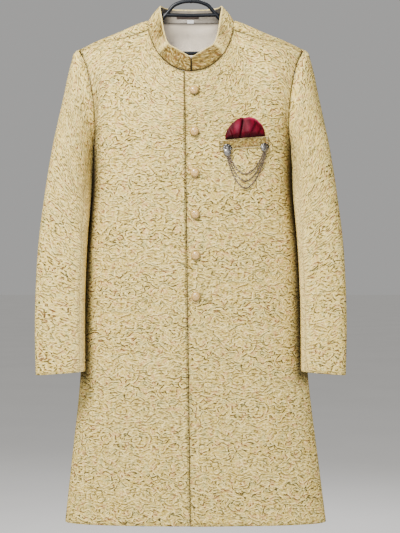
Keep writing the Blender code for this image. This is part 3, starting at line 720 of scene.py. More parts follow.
def node(kind, inputs, **settings):
    """Adds a node to the tree of the nodes that feed it; each input is a value or another node's output."""
    tree = next(value.id_data for value in inputs.values() if is_output(value))
    made = tree.nodes.new(kind)
    for key, value in settings.items():
        setattr(made, key, value)
    for key, value in inputs.items():
        if is_output(value):
            tree.links.new(value, made.inputs[key])
        else:
            made.inputs[key].default_value = value
    return made


def maths(operation, a, b=0.0):
    return node("ShaderNodeMath", {0: a, 1: b}, operation=operation).outputs[0]


def times(a, b):
    return maths("MULTIPLY", a, b)


def plus(a, b):
    return maths("ADD", a, b)


def apart(a, b):
    """How far two values lie from each other."""
    return maths("ABSOLUTE", maths("SUBTRACT", a, b))


def fade(value, low, high, start=0.0, end=1.0):
    """Maps a value from low..high to start..end along a soft step."""
    inputs = {"Value": value, "From Min": low, "From Max": high, "To Min": start, "To Max": end}
    return node("ShaderNodeMapRange", inputs, interpolation_type="SMOOTHSTEP").outputs["Result"]


def blend(share, a, b):
    """Mixes two colours, each three numbers or another node's output."""
    a, b = (c if is_output(c) else (*c, 1.0) for c in (a, b))
    return node("ShaderNodeMix", {0: share, 6: a, 7: b}, data_type="RGBA").outputs[2]


def tinted(hue, share):
    return tuple(min(1.0, share * c) for c in hue)


def stretched(vector, scale=(1, 1, 1), shift=(0, 0, 0), turn=0.0):
    inputs = {"Vector": vector, "Scale": scale, "Location": shift, "Rotation": (0, 0, turn)}
    return node("ShaderNodeMapping", inputs).outputs["Vector"]


def noise(vector, scale, detail=0.0, roughness=0.5):
    inputs = {"Vector": vector, "Scale": scale, "Detail": detail, "Roughness": roughness}
    return node("ShaderNodeTexNoise", inputs).outputs["Fac"]


def ribs(vector, pitch, direction="X", distortion=0.0):
    """Fine parallel ribs, 0 to 1, at a real pitch in metres."""
    inputs = {"Vector": vector, "Scale": np.pi / (10 * pitch), "Distortion": distortion, "Detail": 0.0}
    return node("ShaderNodeTexWave", inputs, bands_direction=direction).outputs["Fac"]


def attribute(tree, name):
    made = tree.nodes.new("ShaderNodeAttribute")
    made.attribute_name = name
    return made.outputs["Fac"]


def cloth_coordinates(tree):
    made = tree.nodes.new("ShaderNodeUVMap")
    made.uv_map = "cloth"
    return made.outputs["UV"]


def object_coordinates(tree):
    return tree.nodes.new("ShaderNodeTexCoord").outputs["Object"]


def new_material(name, **sockets):
    """An empty finish, with constants set on its shader's own sockets (underscores stand for spaces)."""
    material = bpy.data.materials.new(name)
    material.use_nodes = True
    for key, value in sockets.items():
        material.node_tree.nodes["Principled BSDF"].inputs[key.replace("_", " ")].default_value = value
    return material, material.node_tree


def wired(material, shown, roughness=None, height=None, distance=0.0):
    """Feeds a finish's colour, roughness and surface height (over a real distance) into its shader."""
    tree = material.node_tree
    shader = tree.nodes["Principled BSDF"]
    tree.links.new(shown, shader.inputs["Base Color"])
    if roughness is not None:
        tree.links.new(roughness, shader.inputs["Roughness"])
    if height is not None:
        bump = node("ShaderNodeBump", {"Height": height, "Distance": distance, "Strength": 1.0})
        tree.links.new(bump.outputs["Normal"], shader.inputs["Normal"])
    return material


# The brocade's rows and arcs are level lines of two fields that count lines across the cloth.
ROW_PITCH = 0.0085
ROW_SWELL_SCALE = 38.0
ROW_SWELL = 4.6
ARC_CELL_SCALE = 23.0
ARC_SQUEEZE = 1.15
ARC_COUNT = 4.6
ARC_SWELL_SCALE = 60.0
ARC_SWELL = 2.1
# Each kind of line: (half width, place of its painted highlight, climb where it starts, and where it is
# whole).
ROW_LINE = (0.23, 0.31, 0.035, 0.085)
ARC_LINE = (0.22, -0.29, 0.04, 0.09)
LINE_CORE = 0.03
GLINT_CORE = 0.02
# The step over which a level's climb is felt: where it hardly climbs its line would spread into a blot.
LEVEL_STEP = 0.0012
# The speckle that breaks the lines into dashes, and what it leaves to the rows and to the arcs.
SPECKLE_SCALE = 125.0
SPECKLE_STRETCH = (0.9, 1.7, 1)
ROW_SPECKLE = (0.51, 0.57)
ARC_SPECKLE = (0.5, 0.44)
PATCH_SCALE = 75.0
CLOUD_SCALE = 16.0
GRAIN_SCALE = 300.0
GRAIN_STRETCH = (0.75, 1.25, 1)
MOTTLE_SCALE = 210.0
DENSE_ROW_PITCH = 0.1
WARP_PITCH = 0.0009
WEFT_PITCH = 0.0007


def row_level(flat):
    """Rows that wander across the cloth."""
    up = node("ShaderNodeSeparateXYZ", {0: flat}).outputs["Y"]
    swell = times(noise(flat, ROW_SWELL_SCALE, 1.0, 0.4), ROW_SWELL)
    return plus(maths("DIVIDE", up, ROW_PITCH), swell)


def arc_level(flat):
    """Arcs nested round scattered centres."""
    squeezed = stretched(flat, (1, ARC_SQUEEZE, 1))
    centres = node("ShaderNodeTexVoronoi", {"Vector": squeezed, "Scale": ARC_CELL_SCALE})
    far = times(centres.outputs["Distance"], ARC_COUNT)
    return plus(far, times(noise(flat, ARC_SWELL_SCALE, 1.0, 0.4), ARC_SWELL))


def dashes(level, climb, kept, kind, wider):
    """A field's level lines, and the painted highlight beside each, where they are kept and steep enough.
    """
    width, side, low, high = kind
    phase = maths("FRACT", level)
    line = fade(apart(phase, 0.5), LINE_CORE, width * wider, 1.0, 0.0)
    glint = fade(apart(phase, 0.5 + side * wider), GLINT_CORE, width * wider, 1.0, 0.0)
    shown = times(kept, fade(climb, low, high))
    return times(line, shown), times(glint, shown)


def brocade(name, shift=(0.0, 0.0, 0.0), painted_light=1.0, wider=1.0):
    """Pale gold jacquard: sunk dashes on wandering rows and nested arcs, with a painted highlight beside
    them.
    """
    hues = cloth_settings()
    material, tree = new_material(
        name,
        Sheen_Weight=0.05,
        Sheen_Roughness=0.45,
        Sheen_Tint=(1.0, 0.85, 0.5, 1.0),
        Specular_IOR_Level=0.0,
    )
    flat = stretched(cloth_coordinates(tree), shift=shift)
    above = stretched(flat, shift=(0, LEVEL_STEP, 0))
    beside = stretched(flat, shift=(LEVEL_STEP, 0, 0))
    rows, arcs = row_level(flat), arc_level(flat)
    row_climb = apart(row_level(above), rows)
    arc_climb = plus(apart(arc_level(above), arcs), apart(arc_level(beside), arcs))
    # Both kinds are broken into dashes by the same speckle, so that they take turns.
    speckle = noise(stretched(flat, SPECKLE_STRETCH), SPECKLE_SCALE)
    row_dashes = dashes(rows, row_climb, fade(speckle, *ROW_SPECKLE), ROW_LINE, wider)
    arc_dashes = dashes(arcs, arc_climb, fade(speckle, *ARC_SPECKLE), ARC_LINE, wider)
    lines, glints = (plus(row, arc) for row, arc in zip(row_dashes, arc_dashes))
    # The ground, brightened on the sleeves' copy as painted light; then cool and warm patches, and a grain
    # of bright and dark threads, each laid over the last.
    ground, sage = tinted(hues.ground, painted_light), tinted(hues.sage, painted_light)
    clouds = noise(flat, CLOUD_SCALE, 1.0)
    patches = noise(flat, PATCH_SCALE, 0.5)
    grain = noise(stretched(flat, GRAIN_STRETCH), GRAIN_SCALE, 2.0, 0.7)
    shown = ground
    for field, start, whole, most, hue in (
        (clouds, 0.35, 0.65, 0.3, sage),
        (patches, 0.57, 0.7, 0.85, hues.blush),
        (patches, 0.43, 0.3, 0.85, sage),
        (grain, 0.48, 0.64, 0.75, hues.glint),
        (grain, 0.46, 0.34, 0.5, hues.line),
    ):
        shown = blend(fade(field, start, whole, 0.0, most), shown, hue)
    # Painted highlight beside each sunk line, where its raised side would catch the light.
    shown = blend(glints, shown, hues.glint)
    # Where the piece's tone says, the ground darkens, mottled: painted shade on the collar's front inside
    # the creases, and a darker tone on the collar's sides and on the welt.
    mottle = fade(noise(flat, MOTTLE_SCALE, 3.0, 0.6), 0.38, 0.6, 0.5, 1.0)
    shown = blend(times(attribute(tree, "tone"), mottle), shown, hues.collar_tone)
    # The sunk lines are redder in the warm patches, and stronger in some rows than in others.
    redder = times(fade(patches, 0.5, 0.62), 0.8)
    dark = blend(redder, hues.line, hues.line_warm)
    strength = fade(ribs(flat, DENSE_ROW_PITCH, "Y", 2.5), 0.1, 0.9, 0.76, 1.0)
    shown = blend(times(lines, strength), shown, dark)
    # Darker pressed edges (painted seam shade and dirt), painted highlights on lit creases and edges, and
    # painted deep shade, as the piece's own attributes give them.
    for key, most, hue in (("edge", 0.3, hues.line), ("lit", 0.8, hues.glint), ("shade", 0.99, hues.shade)):
        shown = blend(times(attribute(tree, key), most), shown, hue)
    weave = plus(ribs(flat, WARP_PITCH, "X"), ribs(flat, WEFT_PITCH, "Y"))
    height = maths("SUBTRACT", times(weave, 0.05), lines)
    height = plus(height, times(glints, 0.5))
    height = plus(height, times(grain, 1.2))
    return wired(material, shown, fade(lines, 0.0, 1.0, 0.5, 0.85), height, 0.0008)


def lining_satin():
    material, tree = new_material("lining_satin", Sheen_Weight=0.1, Specular_IOR_Level=0.5)
    flat = cloth_coordinates(tree)
    hue = cloth_settings().lining
    clouds = noise(stretched(flat, (1, 0.5, 1)), 24.0, 2.0)
    shown = blend(fade(clouds, 0.3, 0.7, 0.0, 0.6), hue, tinted(hue, 0.78))
    # Darker edges, painted seam shade and dirt; then painted deep shade where the piece's shade says.
    shown = blend(times(attribute(tree, "edge"), 0.3), shown, tinted(hue, 0.35))
    shown = blend(attribute(tree, "shade"), shown, tinted(hue, 0.06))
    twill = ribs(stretched(flat, turn=0.8), 0.0006)
    creases = noise(stretched(flat, (1, 0.35, 1)), 46.0, 3.0)
    height = plus(times(twill, 0.05), creases)
    return wired(material, shown, fade(clouds, 0.2, 0.8, 0.32, 0.48), height, 0.0012)


def button_satin():
    material, tree = new_material(
        "button_satin", Specular_IOR_Level=0.8, Coat_Weight=1.0, Coat_Roughness=0.22, Coat_IOR=1.65
    )
    place = object_coordinates(tree)
    hue = trim_settings().button_cloth
    mottled = noise(place, 420.0, 2.0)
    shown = blend(fade(mottled, 0.35, 0.7), hue, tinted(hue, 1.35))
    # Painted shade round the rim, deepest on the underside.
    shown = blend(attribute(tree, "tone"), shown, (0.05, 0.022, 0.007))
    weave = plus(ribs(place, 0.0006, "X"), ribs(place, 0.0006, "Z"))
    height = plus(weave, mottled)
    return wired(material, shown, fade(mottled, 0.3, 0.7, 0.24, 0.34), height, 0.00012)


def crimson_satin():
    material, tree = new_material(
        "crimson_satin",
        Sheen_Weight=0.1,
        Sheen_Roughness=0.3,
        Sheen_Tint=(1.0, 0.2, 0.3, 1.0),
        Roughness=0.48,
        Specular_IOR_Level=0.08,
    )
    flat = cloth_coordinates(tree)
    hue = trim_settings().crimson
    streaks = noise(stretched(flat, (1, 0.3, 1)), 160.0, 2.0)
    shown = blend(fade(streaks, 0.35, 0.75), hue, tinted(hue, 2.2))
    # Painted shade in the folds, at the foot and at the outer side; painted highlights on the crown and two
    # lobes.
    shown = blend(times(attribute(tree, "tone"), 0.9), shown, tinted(hue, 0.12))
    shown = blend(attribute(tree, "lit"), shown, (0.36, 0.018, 0.075))
    twill = ribs(stretched(flat, turn=0.7), 0.0005)
    return wired(material, shown, None, plus(times(twill, 0.2), streaks), 0.00025)


def antique_silver(name, warmth=(1.0, 1.0, 1.0)):
    material, tree = new_material(name, Metallic=1.0)
    hue = tuple(c * w for c, w in zip(trim_settings().silver, warmth))
    tarnish = noise(object_coordinates(tree), 700.0, 3.0)
    shown = blend(fade(tarnish, 0.4, 0.62), tinted(hue, 0.35), tinted(hue, 1.5))
    shown = blend(attribute(tree, "tone"), shown, (0.004, 0.005, 0.008))
    return wired(material, shown, fade(tarnish, 0.35, 0.65, 0.56, 0.32), tarnish, 0.0001)


def ribbon(name, hue):
    material, tree = new_material(name, Roughness=0.8, Sheen_Weight=0.15)
    flat = cloth_coordinates(tree)
    worn = tinted([c + 0.01 / 1.5 for c in hue], 1.5)
    shown = blend(fade(noise(flat, 300.0, 2.0), 0.3, 0.7, 0.0, 0.5), hue, worn)
    return wired(material, shown, None, ribs(flat, 0.0007, "Y"), 0.00015)


def moulded_plastic():
    material, tree = new_material("moulded_plastic", Specular_IOR_Level=0.22)
    place = object_coordinates(tree)
    hue = trim_settings().plastic
    scuffs = noise(stretched(place, (0.2, 1, 1)), 60.0, 3.0)
    shown = blend(fade(scuffs, 0.5, 0.8, 0.0, 0.6), hue, tinted(hue, 2.6))
    grain = noise(place, 900.0, 2.0)
    return wired(material, shown, fade(scuffs, 0.3, 0.8, 0.3, 0.5), grain, 0.00006)


def sewing_thread():
    material, tree = new_material("sewing_thread", Roughness=0.55, Sheen_Weight=0.2)
    twist = noise(object_coordinates(tree), 900.0, 1.0)
    shown = blend(fade(twist, 0.3, 0.7), (0.42, 0.31, 0.13), (0.72, 0.6, 0.36))
    return wired(material, shown, None, twist, 0.0001)


def pale_paint():
    material, tree = new_material("pale_floor", Roughness=1.0, Specular_IOR_Level=0.0)
    hue = stage_settings().floor
    clouds = noise(object_coordinates(tree), 1.2, 2.0)
    return wired(material, blend(fade(clouds, 0.3, 0.7), hue, tinted(hue, 0.97)))


FINISHES = {
    "brocade_left": lambda: brocade("brocade_left"),
    "brocade_right": lambda: brocade("brocade_right", (0.237, 0.061, 0.0)),
    "brocade_back": lambda: brocade("brocade_back", (0.611, 0.143, 0.0)),
    # The sleeves' copy is painted brighter, for the light that the sleeves catch more than the body, and
    # its lines are wider.
    "brocade_sleeves": lambda: brocade("brocade_sleeves", (0.891, 0.317, 0.0), 1.25, 1.2),
    "brocade_collar": lambda: brocade("brocade_collar", (0.452, 0.771, 0.0)),
    "brocade_welt": lambda: brocade("brocade_welt", (0.333, 0.518, 0.0)),
    "lining_satin": lining_satin,
    "button_satin": button_satin,
    "crimson_satin": crimson_satin,
    "antique_silver": lambda: antique_silver("antique_silver"),
    "chain_silver": lambda: antique_silver("chain_silver", (0.92, 0.76, 0.62)),
    "dark_ribbon": lambda: ribbon("dark_ribbon", (0.035, 0.018, 0.012)),
    "white_ribbon": lambda: ribbon("white_ribbon", (0.9, 0.89, 0.86)),
    "moulded_plastic": moulded_plastic,
    "sewing_thread": sewing_thread,
    "pale_floor": pale_paint,
}


def finish(name):
    return bpy.data.materials.get(name) or FINISHES[name]()


# ---- Sheets of cloth ----

FRONT, FRONT_NORMALS, BACK, BACK_NORMALS = body_grids()


# How far from a seam the cloth is held flat by it.
SEAM_HOLD = 0.02


def seam_fade(grid, seams):
    """1 over the open cloth, falling to 0 at the named seams: (axis, end) pairs."""
    keep = np.ones(grid.shape[:2])
    for axis, end in seams:
        keep *= 1 - bell(run_from(grid, axis, end), SEAM_HOLD)
    return keep


# How far the sides stand out towards the sleeves, below the armholes: (height, ease).
LEFT_EASE = (
    (-0.53, 0.0),
    (-0.514, 0.0003),
    (-0.489, 0.0011),
    (-0.4645, 0.0024),
    (-0.44, 0.0027),
    (-0.415, 0.002),
    (-0.402, 0.0012),
    (-0.385, 0.0006),
    (-0.374, 0.0),
)
RIGHT_EASE = (
    (-0.585, 0.0),
    (-0.564, 0.0006),
    (-0.539, 0.0018),
    (-0.514, 0.0025),
    (-0.489, 0.0032),
    (-0.4645, 0.0042),
    (-0.44, 0.0039),
    (-0.415, 0.0029),
    (-0.402, 0.0014),
    (-0.385, 0.0006),
    (-0.374, 0.0),
)
# How far the sleeves hang over the sides: (height, reach).
LEFT_COVER = ((-0.837, 0.0135), (-0.763, 0.01), (-0.663, 0.0053), (-0.564, 0.0027), (-0.5, 0.0))
RIGHT_COVER = ((-0.837, 0.0092), (-0.763, 0.0058), (-0.663, 0.0018), (-0.56, 0.0))
# How far the ease reaches in from a side seam, and how wide the painted shade beside each sleeve is, with
# its peak and its fall.
EASE_REACH = 0.03
LEFT_SLEEVE_SHADE_WIDTH = 0.0175
RIGHT_SLEEVE_SHADE_WIDTH = 0.0145
SLEEVE_SHADE_PEAK = 1.06
SLEEVE_SHADE_FALL = 2.2
# Painted shade beside the sleeve and along the armhole seam by height, and along the shoulder seam by the
# way across.
SIDE_SHADE = (
    (-0.872, 0.0),
    (-0.838, 0.9),
    (-0.44, 1.0),
    (-0.385, 0.9),
    (-0.345, 0.5),
    (-0.31, 0.15),
    (-0.25, 0.0),
)
ARMHOLE_SHADE = ((-0.3, 0.85), (-0.2, 0.45))
SHOULDER_SHADE = ((0.0875, 1.0), (0.14, 0.85), (0.21, 0.25))
NECK_SHADE = 0.75
BACK_SIDE_SHADE = 0.5
# The dimple and the painted cast shade at each button, and the painted shade line along each edge of the
# closing.
BUTTON_DIMPLE = 0.0007
BUTTON_DIMPLE_SIZE = 0.011
BUTTON_CAST = 0.0024
BUTTON_CAST_SIZE = 0.0114
BUTTON_CAST_SHADE = 0.75
EDGE_LINE = 0.0012
GROOVE_INSET = 0.0012
GROOVE_LINE = 0.0011


def beside_sleeves(grid, end):
    """How far the cloth near a side seam is eased outwards, and how dark the painted shade beside the
    sleeve is.
    """
    z = grid[..., 2]
    left, right = (LEFT_EASE, LEFT_COVER, LEFT_SLEEVE_SHADE_WIDTH), (RIGHT_EASE, RIGHT_COVER, RIGHT_SLEEVE_SHADE_WIDTH)
    eased, cover, reach = left if grid[0, end, 0] > 0 else right
    ease = read_line(eased, z) * bell(run_from(grid, 1, end), EASE_REACH)
    inward = np.abs(grid[:, end : end + 1 or None, 0] - grid[..., 0])
    inward = np.clip(inward - read_line(cover, z), 0, None)
    shade = read_line(SIDE_SHADE, z) * np.clip(SLEEVE_SHADE_PEAK * np.exp(-((inward / reach) ** SLEEVE_SHADE_FALL)), 0, 1)
    seam = read_line(ARMHOLE_SHADE, z[BODY_ROWS:, end])
    shade[BODY_ROWS:, end] = np.maximum(shade[BODY_ROWS:, end], seam)
    return ease, shade


def front_sheet(keep_left):
    """One front's middle surface as it hangs, its flat cut, its normals and the shade on it."""
    grid, normals = front_columns(FRONT, FRONT_NORMALS, keep_left)
    x, z = grid[..., 0], grid[..., 2]
    side, out = (-1, 1) if keep_left else (0, -1)
    folds = panel_folds(grid, FRONT_FOLDS) - BUTTON_DIMPLE * button_spots(x, z, BUTTON_DIMPLE_SIZE)
    lift = folds * seam_fade(grid, ((1, side), (0, -1)))
    ease, shade = beside_sleeves(grid, side)
    at_neck = x[-1] ** 2 < SHOULDER_SHADE[0][0] ** 2
    seam = np.where(at_neck, NECK_SHADE, read_line(SHOULDER_SHADE, np.abs(x[-1])))
    shade[-1] = np.maximum(shade[-1], seam)
    if keep_left:
        lift = lift + (CLOTH + CLOSING_SPACE) * closing_ease(x)
        # Painted shade line along the left front's edge, and painted cast shade below and to one side of
        # each button.
        shade = np.maximum(shade, bell(run_from(grid, 1, 0), EDGE_LINE))
        cast = button_spots(x - BUTTON_CAST, z + BUTTON_CAST, BUTTON_CAST_SIZE)
        shade = np.maximum(shade, BUTTON_CAST_SHADE * cast**2)
    else:
        # Painted shade line on the right front, beside the left front's edge.
        shade = np.maximum(shade, bell(x - (closing_edge(z) - GROOVE_INSET), GROOVE_LINE))
    hung = grid + normals * lift[..., None]
    hung[..., 0] += out * ease
    return swayed(hung), grid, normals, shade


class FrontFace:
    """The left front's outer face, read by place across and height."""

    STEP = 0.002
    LOW = (-0.012, -0.7)
    HIGH = (0.186, -0.2)

    def __init__(self):
        grid = front_sheet(True)[0]
        normals = normals_of(grid)
        face = grid + normals * CLOTH / 2
        self.x = np.arange(self.LOW[0], self.HIGH[0], self.STEP)
        self.z = np.arange(self.LOW[1], self.HIGH[1], self.STEP)
        across = np.array([read_row(row, row, self.x) for row in face])
        turned = np.array([read_row(row, row_normals, self.x) for row, row_normals in zip(face, normals)])
        self.table = np.zeros((len(self.x), len(self.z), 4))
        for k in range(len(self.x)):
            values = np.column_stack([across[:, k, 1], turned[:, k]])
            for c in range(4):
                self.table[k, :, c] = np.interp(self.z, across[:, k, 2], values[:, c])

    def at(self, x, z):
        """The points and unit normals of the face at x and z."""
        x, z = np.broadcast_arrays(np.asarray(x, float), np.asarray(z, float))
        u = np.clip((x - self.x[0]) / self.STEP, 0, len(self.x) - 1.001)
        v = np.clip((z - self.z[0]) / self.STEP, 0, len(self.z) - 1.001)
        i, j = u.astype(int), v.astype(int)
        a, b = (u - i)[..., None], (v - j)[..., None]
        t = self.table
        low = t[i, j] * (1 - a) + t[i + 1, j] * a
        high = t[i, j + 1] * (1 - a) + t[i + 1, j + 1] * a
        read = low * (1 - b) + high * b
        return np.stack([x, read[..., 0], z], axis=-1), unit(read[..., 1:])


def front_face():
    if not hasattr(front_face, "kept"):
        front_face.kept = FrontFace()
    return front_face.kept


def inset(rim):
    return rim + GAP / 2


# The arms that the coat hangs on.
ARMS = ["hanger_arm_left", "hanger_arm_right"]
FRONTS = ((True, "front_left", "brocade_left"), (False, "front_right", "brocade_right"))


def make_fronts():
    rim = CLOTH / 2
    for keep_left, name, material in FRONTS:
        shaped, cut, normals, shade = front_sheet(keep_left)
        sides = (rim, inset(rim)) if keep_left else (inset(rim), rim)
        grid = drawn_in(shaped, (rim, inset(rim), *sides))
        piece = shell(f"{name}_cloth", grid, normals, rim, arc_map(cut, 0.0), shade=shade)
        cloth_piece(piece, name, finish(material))


def back_lift():
    return panel_folds(BACK, BACK_FOLDS) * seam_fade(BACK, ((1, 0), (1, -1), (0, -1)))


def back_sheet():
    hung = BACK + BACK_NORMALS * back_lift()[..., None]
    shades = []
    for end in (0, -1):
        ease, shade = beside_sleeves(BACK, end)
        hung[..., 0] += ease * np.sign(BACK[:, end : end + 1 or None, 0])
        shades.append(shade * BACK_SIDE_SHADE)
    return swayed(hung), np.maximum(*shades)


def make_back():
    rim = CLOTH / 2
    shaped, shade = back_sheet()
    grid = drawn_in(shaped, (rim, inset(rim), inset(rim), inset(rim)))
    piece = shell("back_cloth", grid, BACK_NORMALS, rim, arc_map(BACK, 0.0), shade=shade)
    cloth_piece(piece, "back", finish("brocade_back"))


# How many rings down the sleeve's head keeps clear of the body, and keeps the body's own slant.
CLEARANCE_FADE = 1.6
SLANT_FADE = 4
# The roll at the sleeve's head: (height, place below the seam, width), and its reach round the arm.
HEAD_ROLL = (0.0016, 0.011, 0.009)
HEAD_REACH = 0.2
# The light on the sleeve's front crease, from this far round towards the body, brightest lower down.
CREASE_FROM = 0.7
CREASE_SPAN = 0.3
CREASE_LIGHT = 0.65
CREASE_RAMP = (-1.0, 3.0)
# Shifts that keep the sleeve pieces from showing the same stretch of the pattern.
RIGHT_SHIFT = 0.31
UNDER_SHIFT = 0.17


def squared(turn, square):
    """A cosine or sine, pushed out towards 1 where the section is squarer than an oval."""
    return np.sign(turn) * np.abs(turn) ** (2 / square)


def sleeve_grid():
    """Rows from armhole to cuff, columns round from under the arm by the back, top and front, to there."""
    steps = 2 * YOKE_ROWS
    angles = np.pi + 2 * np.pi * np.arange(steps + 1) / steps
    places = np.linspace(0, len(SLEEVE_RINGS) - 1, SLEEVE_ROWS)
    rings = stations(SLEEVE_RINGS, places)[:, None, :]
    outer, inner = rings[..., 0:2], rings[..., 2:4]
    turn = squared(np.cos(angles), rings[..., 6])[..., None]
    flat = (outer + inner) / 2 + (outer - inner) / 2 * turn
    depth = rings[..., 4] - rings[..., 5] * squared(np.sin(angles), rings[..., 6])
    oval = np.stack([flat[..., 0], depth, flat[..., 1]], axis=-1)
    front_seam, back_seam = FRONT[BODY_ROWS:, -1], BACK[BODY_ROWS:, 0]
    armhole = np.concatenate([back_seam, front_seam[-2::-1]])
    settle = stations([[s] for s in SLEEVE_SETTLE], places)[:, None, :]
    grid = oval + settle * (armhole - oval[0])
    around = np.concatenate([grid[:, -2:-1], grid, grid[:, 1:2]], axis=1)
    normals = normals_of(around)[:, 1:-1]
    up = np.minimum(np.arange(steps + 1), steps - np.arange(steps + 1)) * SEAM_ROWS / YOKE_ROWS
    clear = np.interp(up, range(len(UNDERARM_CLEARANCE)), UNDERARM_CLEARANCE)
    body = np.concatenate([BACK_NORMALS[BODY_ROWS:, 0], FRONT_NORMALS[BODY_ROWS:, -1][-2::-1]])
    near = np.clip(2 - places * CLEARANCE_FADE, 0, 1)[:, None]
    slanted = np.clip(1 - places * SLANT_FADE, 0, 1)[:, None, None]
    normals = unit(normals + (body * (1 - clear)[:, None])[None] * slanted)
    grid[..., 0] += (ARMHOLE_CLEARANCE + CLOTH * clear) * near
    return grid, normals, angles


def sleeve_sheet():
    grid, normals, angles = sleeve_grid()
    degrees = np.degrees(angles) - 180
    height, place, width = HEAD_ROLL
    head = height * bell(run_from(grid, 0, 0) - place, width) * np.clip(np.cos(angles) + HEAD_REACH, 0, 1)
    lift = sleeve_folds(grid, degrees) * seam_fade(grid, ((0, 0),)) + head
    return grid + normals * lift[..., None], grid, normals


def sleeve_sway(grid, share_inward):
    """Full sway at the armhole; towards the cuff less inside the arm, and none along its outer side."""
    moved = swayed(grid) - grid
    down = 1 - np.linspace(1, 0, grid.shape[0])[:, None] ** 3
    keep = 1 - down * (1 - SLEEVE_SWAY * share_inward)
    return grid + moved * keep[..., None]


def sleeve_map(cut, columns):
    """Cloth coordinates of a sleeve piece: round the arm from its middle, and up from the cuff."""
    piece = cut[:, columns]
    middle = len(columns) // 2
    run = run_from(piece, 1, 0)
    across = run - run[:, middle : middle + 1]
    up = run_from(piece, 0, -1)[:, middle]
    return np.stack([across, np.broadcast_to(up[:, None], across.shape)], axis=-1)


def make_sleeves():
    rim = CLOTH / 2
    shaped, cut, normals = sleeve_sheet()
    fine = YOKE_ROWS // SEAM_ROWS
    front_column = 2 * YOKE_ROWS - FRONT_SEAM_ROW * fine
    back_column = BACK_SEAM_ROW * fine
    around = np.arange(2 * YOKE_ROWS)
    spans = {
        "top": around[back_column : front_column + 1],
        "under": np.concatenate([around[front_column:], around[: back_column + 1]]),
    }
    inward = (1 + np.cos(around * np.pi / YOKE_ROWS)) / 2
    down = np.clip(np.linspace(*CREASE_RAMP, SLEEVE_ROWS + 1)[: len(shaped), None], 0, 1)
    for part, columns in spans.items():
        for side, flip in (("left", 1.0), ("right", -1.0)):
            flipped = np.array((flip, 1.0, 1.0))
            hung = sleeve_sway(shaped[:, columns] * flipped, inward[columns])
            grid = drawn_in(hung, (inset(rim), rim, inset(rim), inset(rim)))
            shift = RIGHT_SHIFT * (side == "right") + UNDER_SHIFT * (part == "under")
            uv = sleeve_map(cut, columns) + np.array((shift, 0.0))
            name = f"sleeve_{side}_{part}"
            crease = np.clip((inward[columns] - CREASE_FROM) / CREASE_SPAN, 0, 1) * (columns > YOKE_ROWS)
            lit = CREASE_LIGHT * crease * down
            piece = shell(f"{name}_cloth", grid, normals[:, columns] * flipped, rim, uv, lit=lit)
            cloth_piece(piece, name, finish("brocade_sleeves"))


# ---- Collar, lining and labels ----

COLLAR_COLUMNS = 48
FRONT_END_SHARES = (0.0085, 0.014)
# The soft crease on each side of the front, at this station of the collar: its width, height and light.
CREASE_STATION = 6.0
CREASE_INSET = 0.1
CREASE_WIDTH = 0.15
CREASE_HEIGHT = 0.0014
COLLAR_CREASE_LIGHT = 0.8
CREASE_RISE = (0.4, 0.6)
TOP_EDGE_LIGHT = 0.9
# Painted shade on the front, inside the creases: where it starts, its ramp, and how it rises upwards.
FRONT_TONE_START = 0.05
FRONT_TONE_RAMP = 0.16
FRONT_TONE_RISE = (0.92, 0.14)
# The tone of the sides: (station, reach), its strength on the wearer's right and left, and how it rises.
SIDE_TONE = (4.8, 0.85)
SIDE_TONE_RIGHT = 1.25
SIDE_TONE_LEFT = 0.85
SIDE_TONE_RISE = (0.35, 0.65)
SEAM_SHADE = 0.8
# The collar's lining: how far its edges are drawn in, and its shade at the middle, the ends and the foot.
LINING_EDGES = (LINING / 2 + GAP / 2, 0.0022, 0.0018, -0.0006)
LINING_SHADE = (0.68, 0.3)
LINING_SHADE_REACH = 0.062
LINING_FOOT_SHADE = 0.9
LINING_SIDE_SHADE = (0.038, 0.014)
LINING_SIDE_RISE = (-1, 3)
LINING_SHIFT = 0.4


def collar_grid():
    """Rows up the collar, columns from one front end round the back to the other, and their stations."""
    shares = np.unique(np.concatenate([np.linspace(0, TURN, COLLAR_COLUMNS + 1), FRONT_END_SHARES]))
    places = np.concatenate([neck_place(shares, -1), neck_place(shares[::-1], 1)[1:]])
    low, high = stations(NECK_SEAM, places), stations(COLLAR_TOP, places)
    half = []
    for t in np.linspace(0, 1, COLLAR_ROWS + 1):
        middle = low * (1 - t) + high * t
        away = unit((middle - middle.mean(axis=0) * (0, 1, 1)) * (1, 1, 0))
        half.append(middle + away * COLLAR_BULGE * 4 * t * (1 - t))
    half = np.array(half)
    grid = np.concatenate([mirrored(half[:, :-1]), half[:, ::-1]], axis=1)
    return grid, np.concatenate([places[:-1], places[::-1]])


def collar_sheet():
    """The collar's inner face, raised off the neck seam, with its normals."""
    grid, places = collar_grid()
    normals = -normals_of(grid)
    near = np.clip(1 - abs(grid[0, :, 0]) / CLOSING_REACH, 0, 1) * (grid[0, :, 1] < 0)
    up = unit(grid[COLLAR_ROWS // 2] - grid[0])
    low = np.clip(1 - 2 * np.linspace(0, 1, COLLAR_ROWS + 1), 0, 1)[:, None, None]
    grid = grid + low * (up * (COLLAR_LIFT + CLOSING_LIFT * near)[:, None])[None]
    return grid, normals, places


def risen(up, base_and_gain):
    """A strength that grows with height."""
    base, gain = base_and_gain
    return base + gain * up


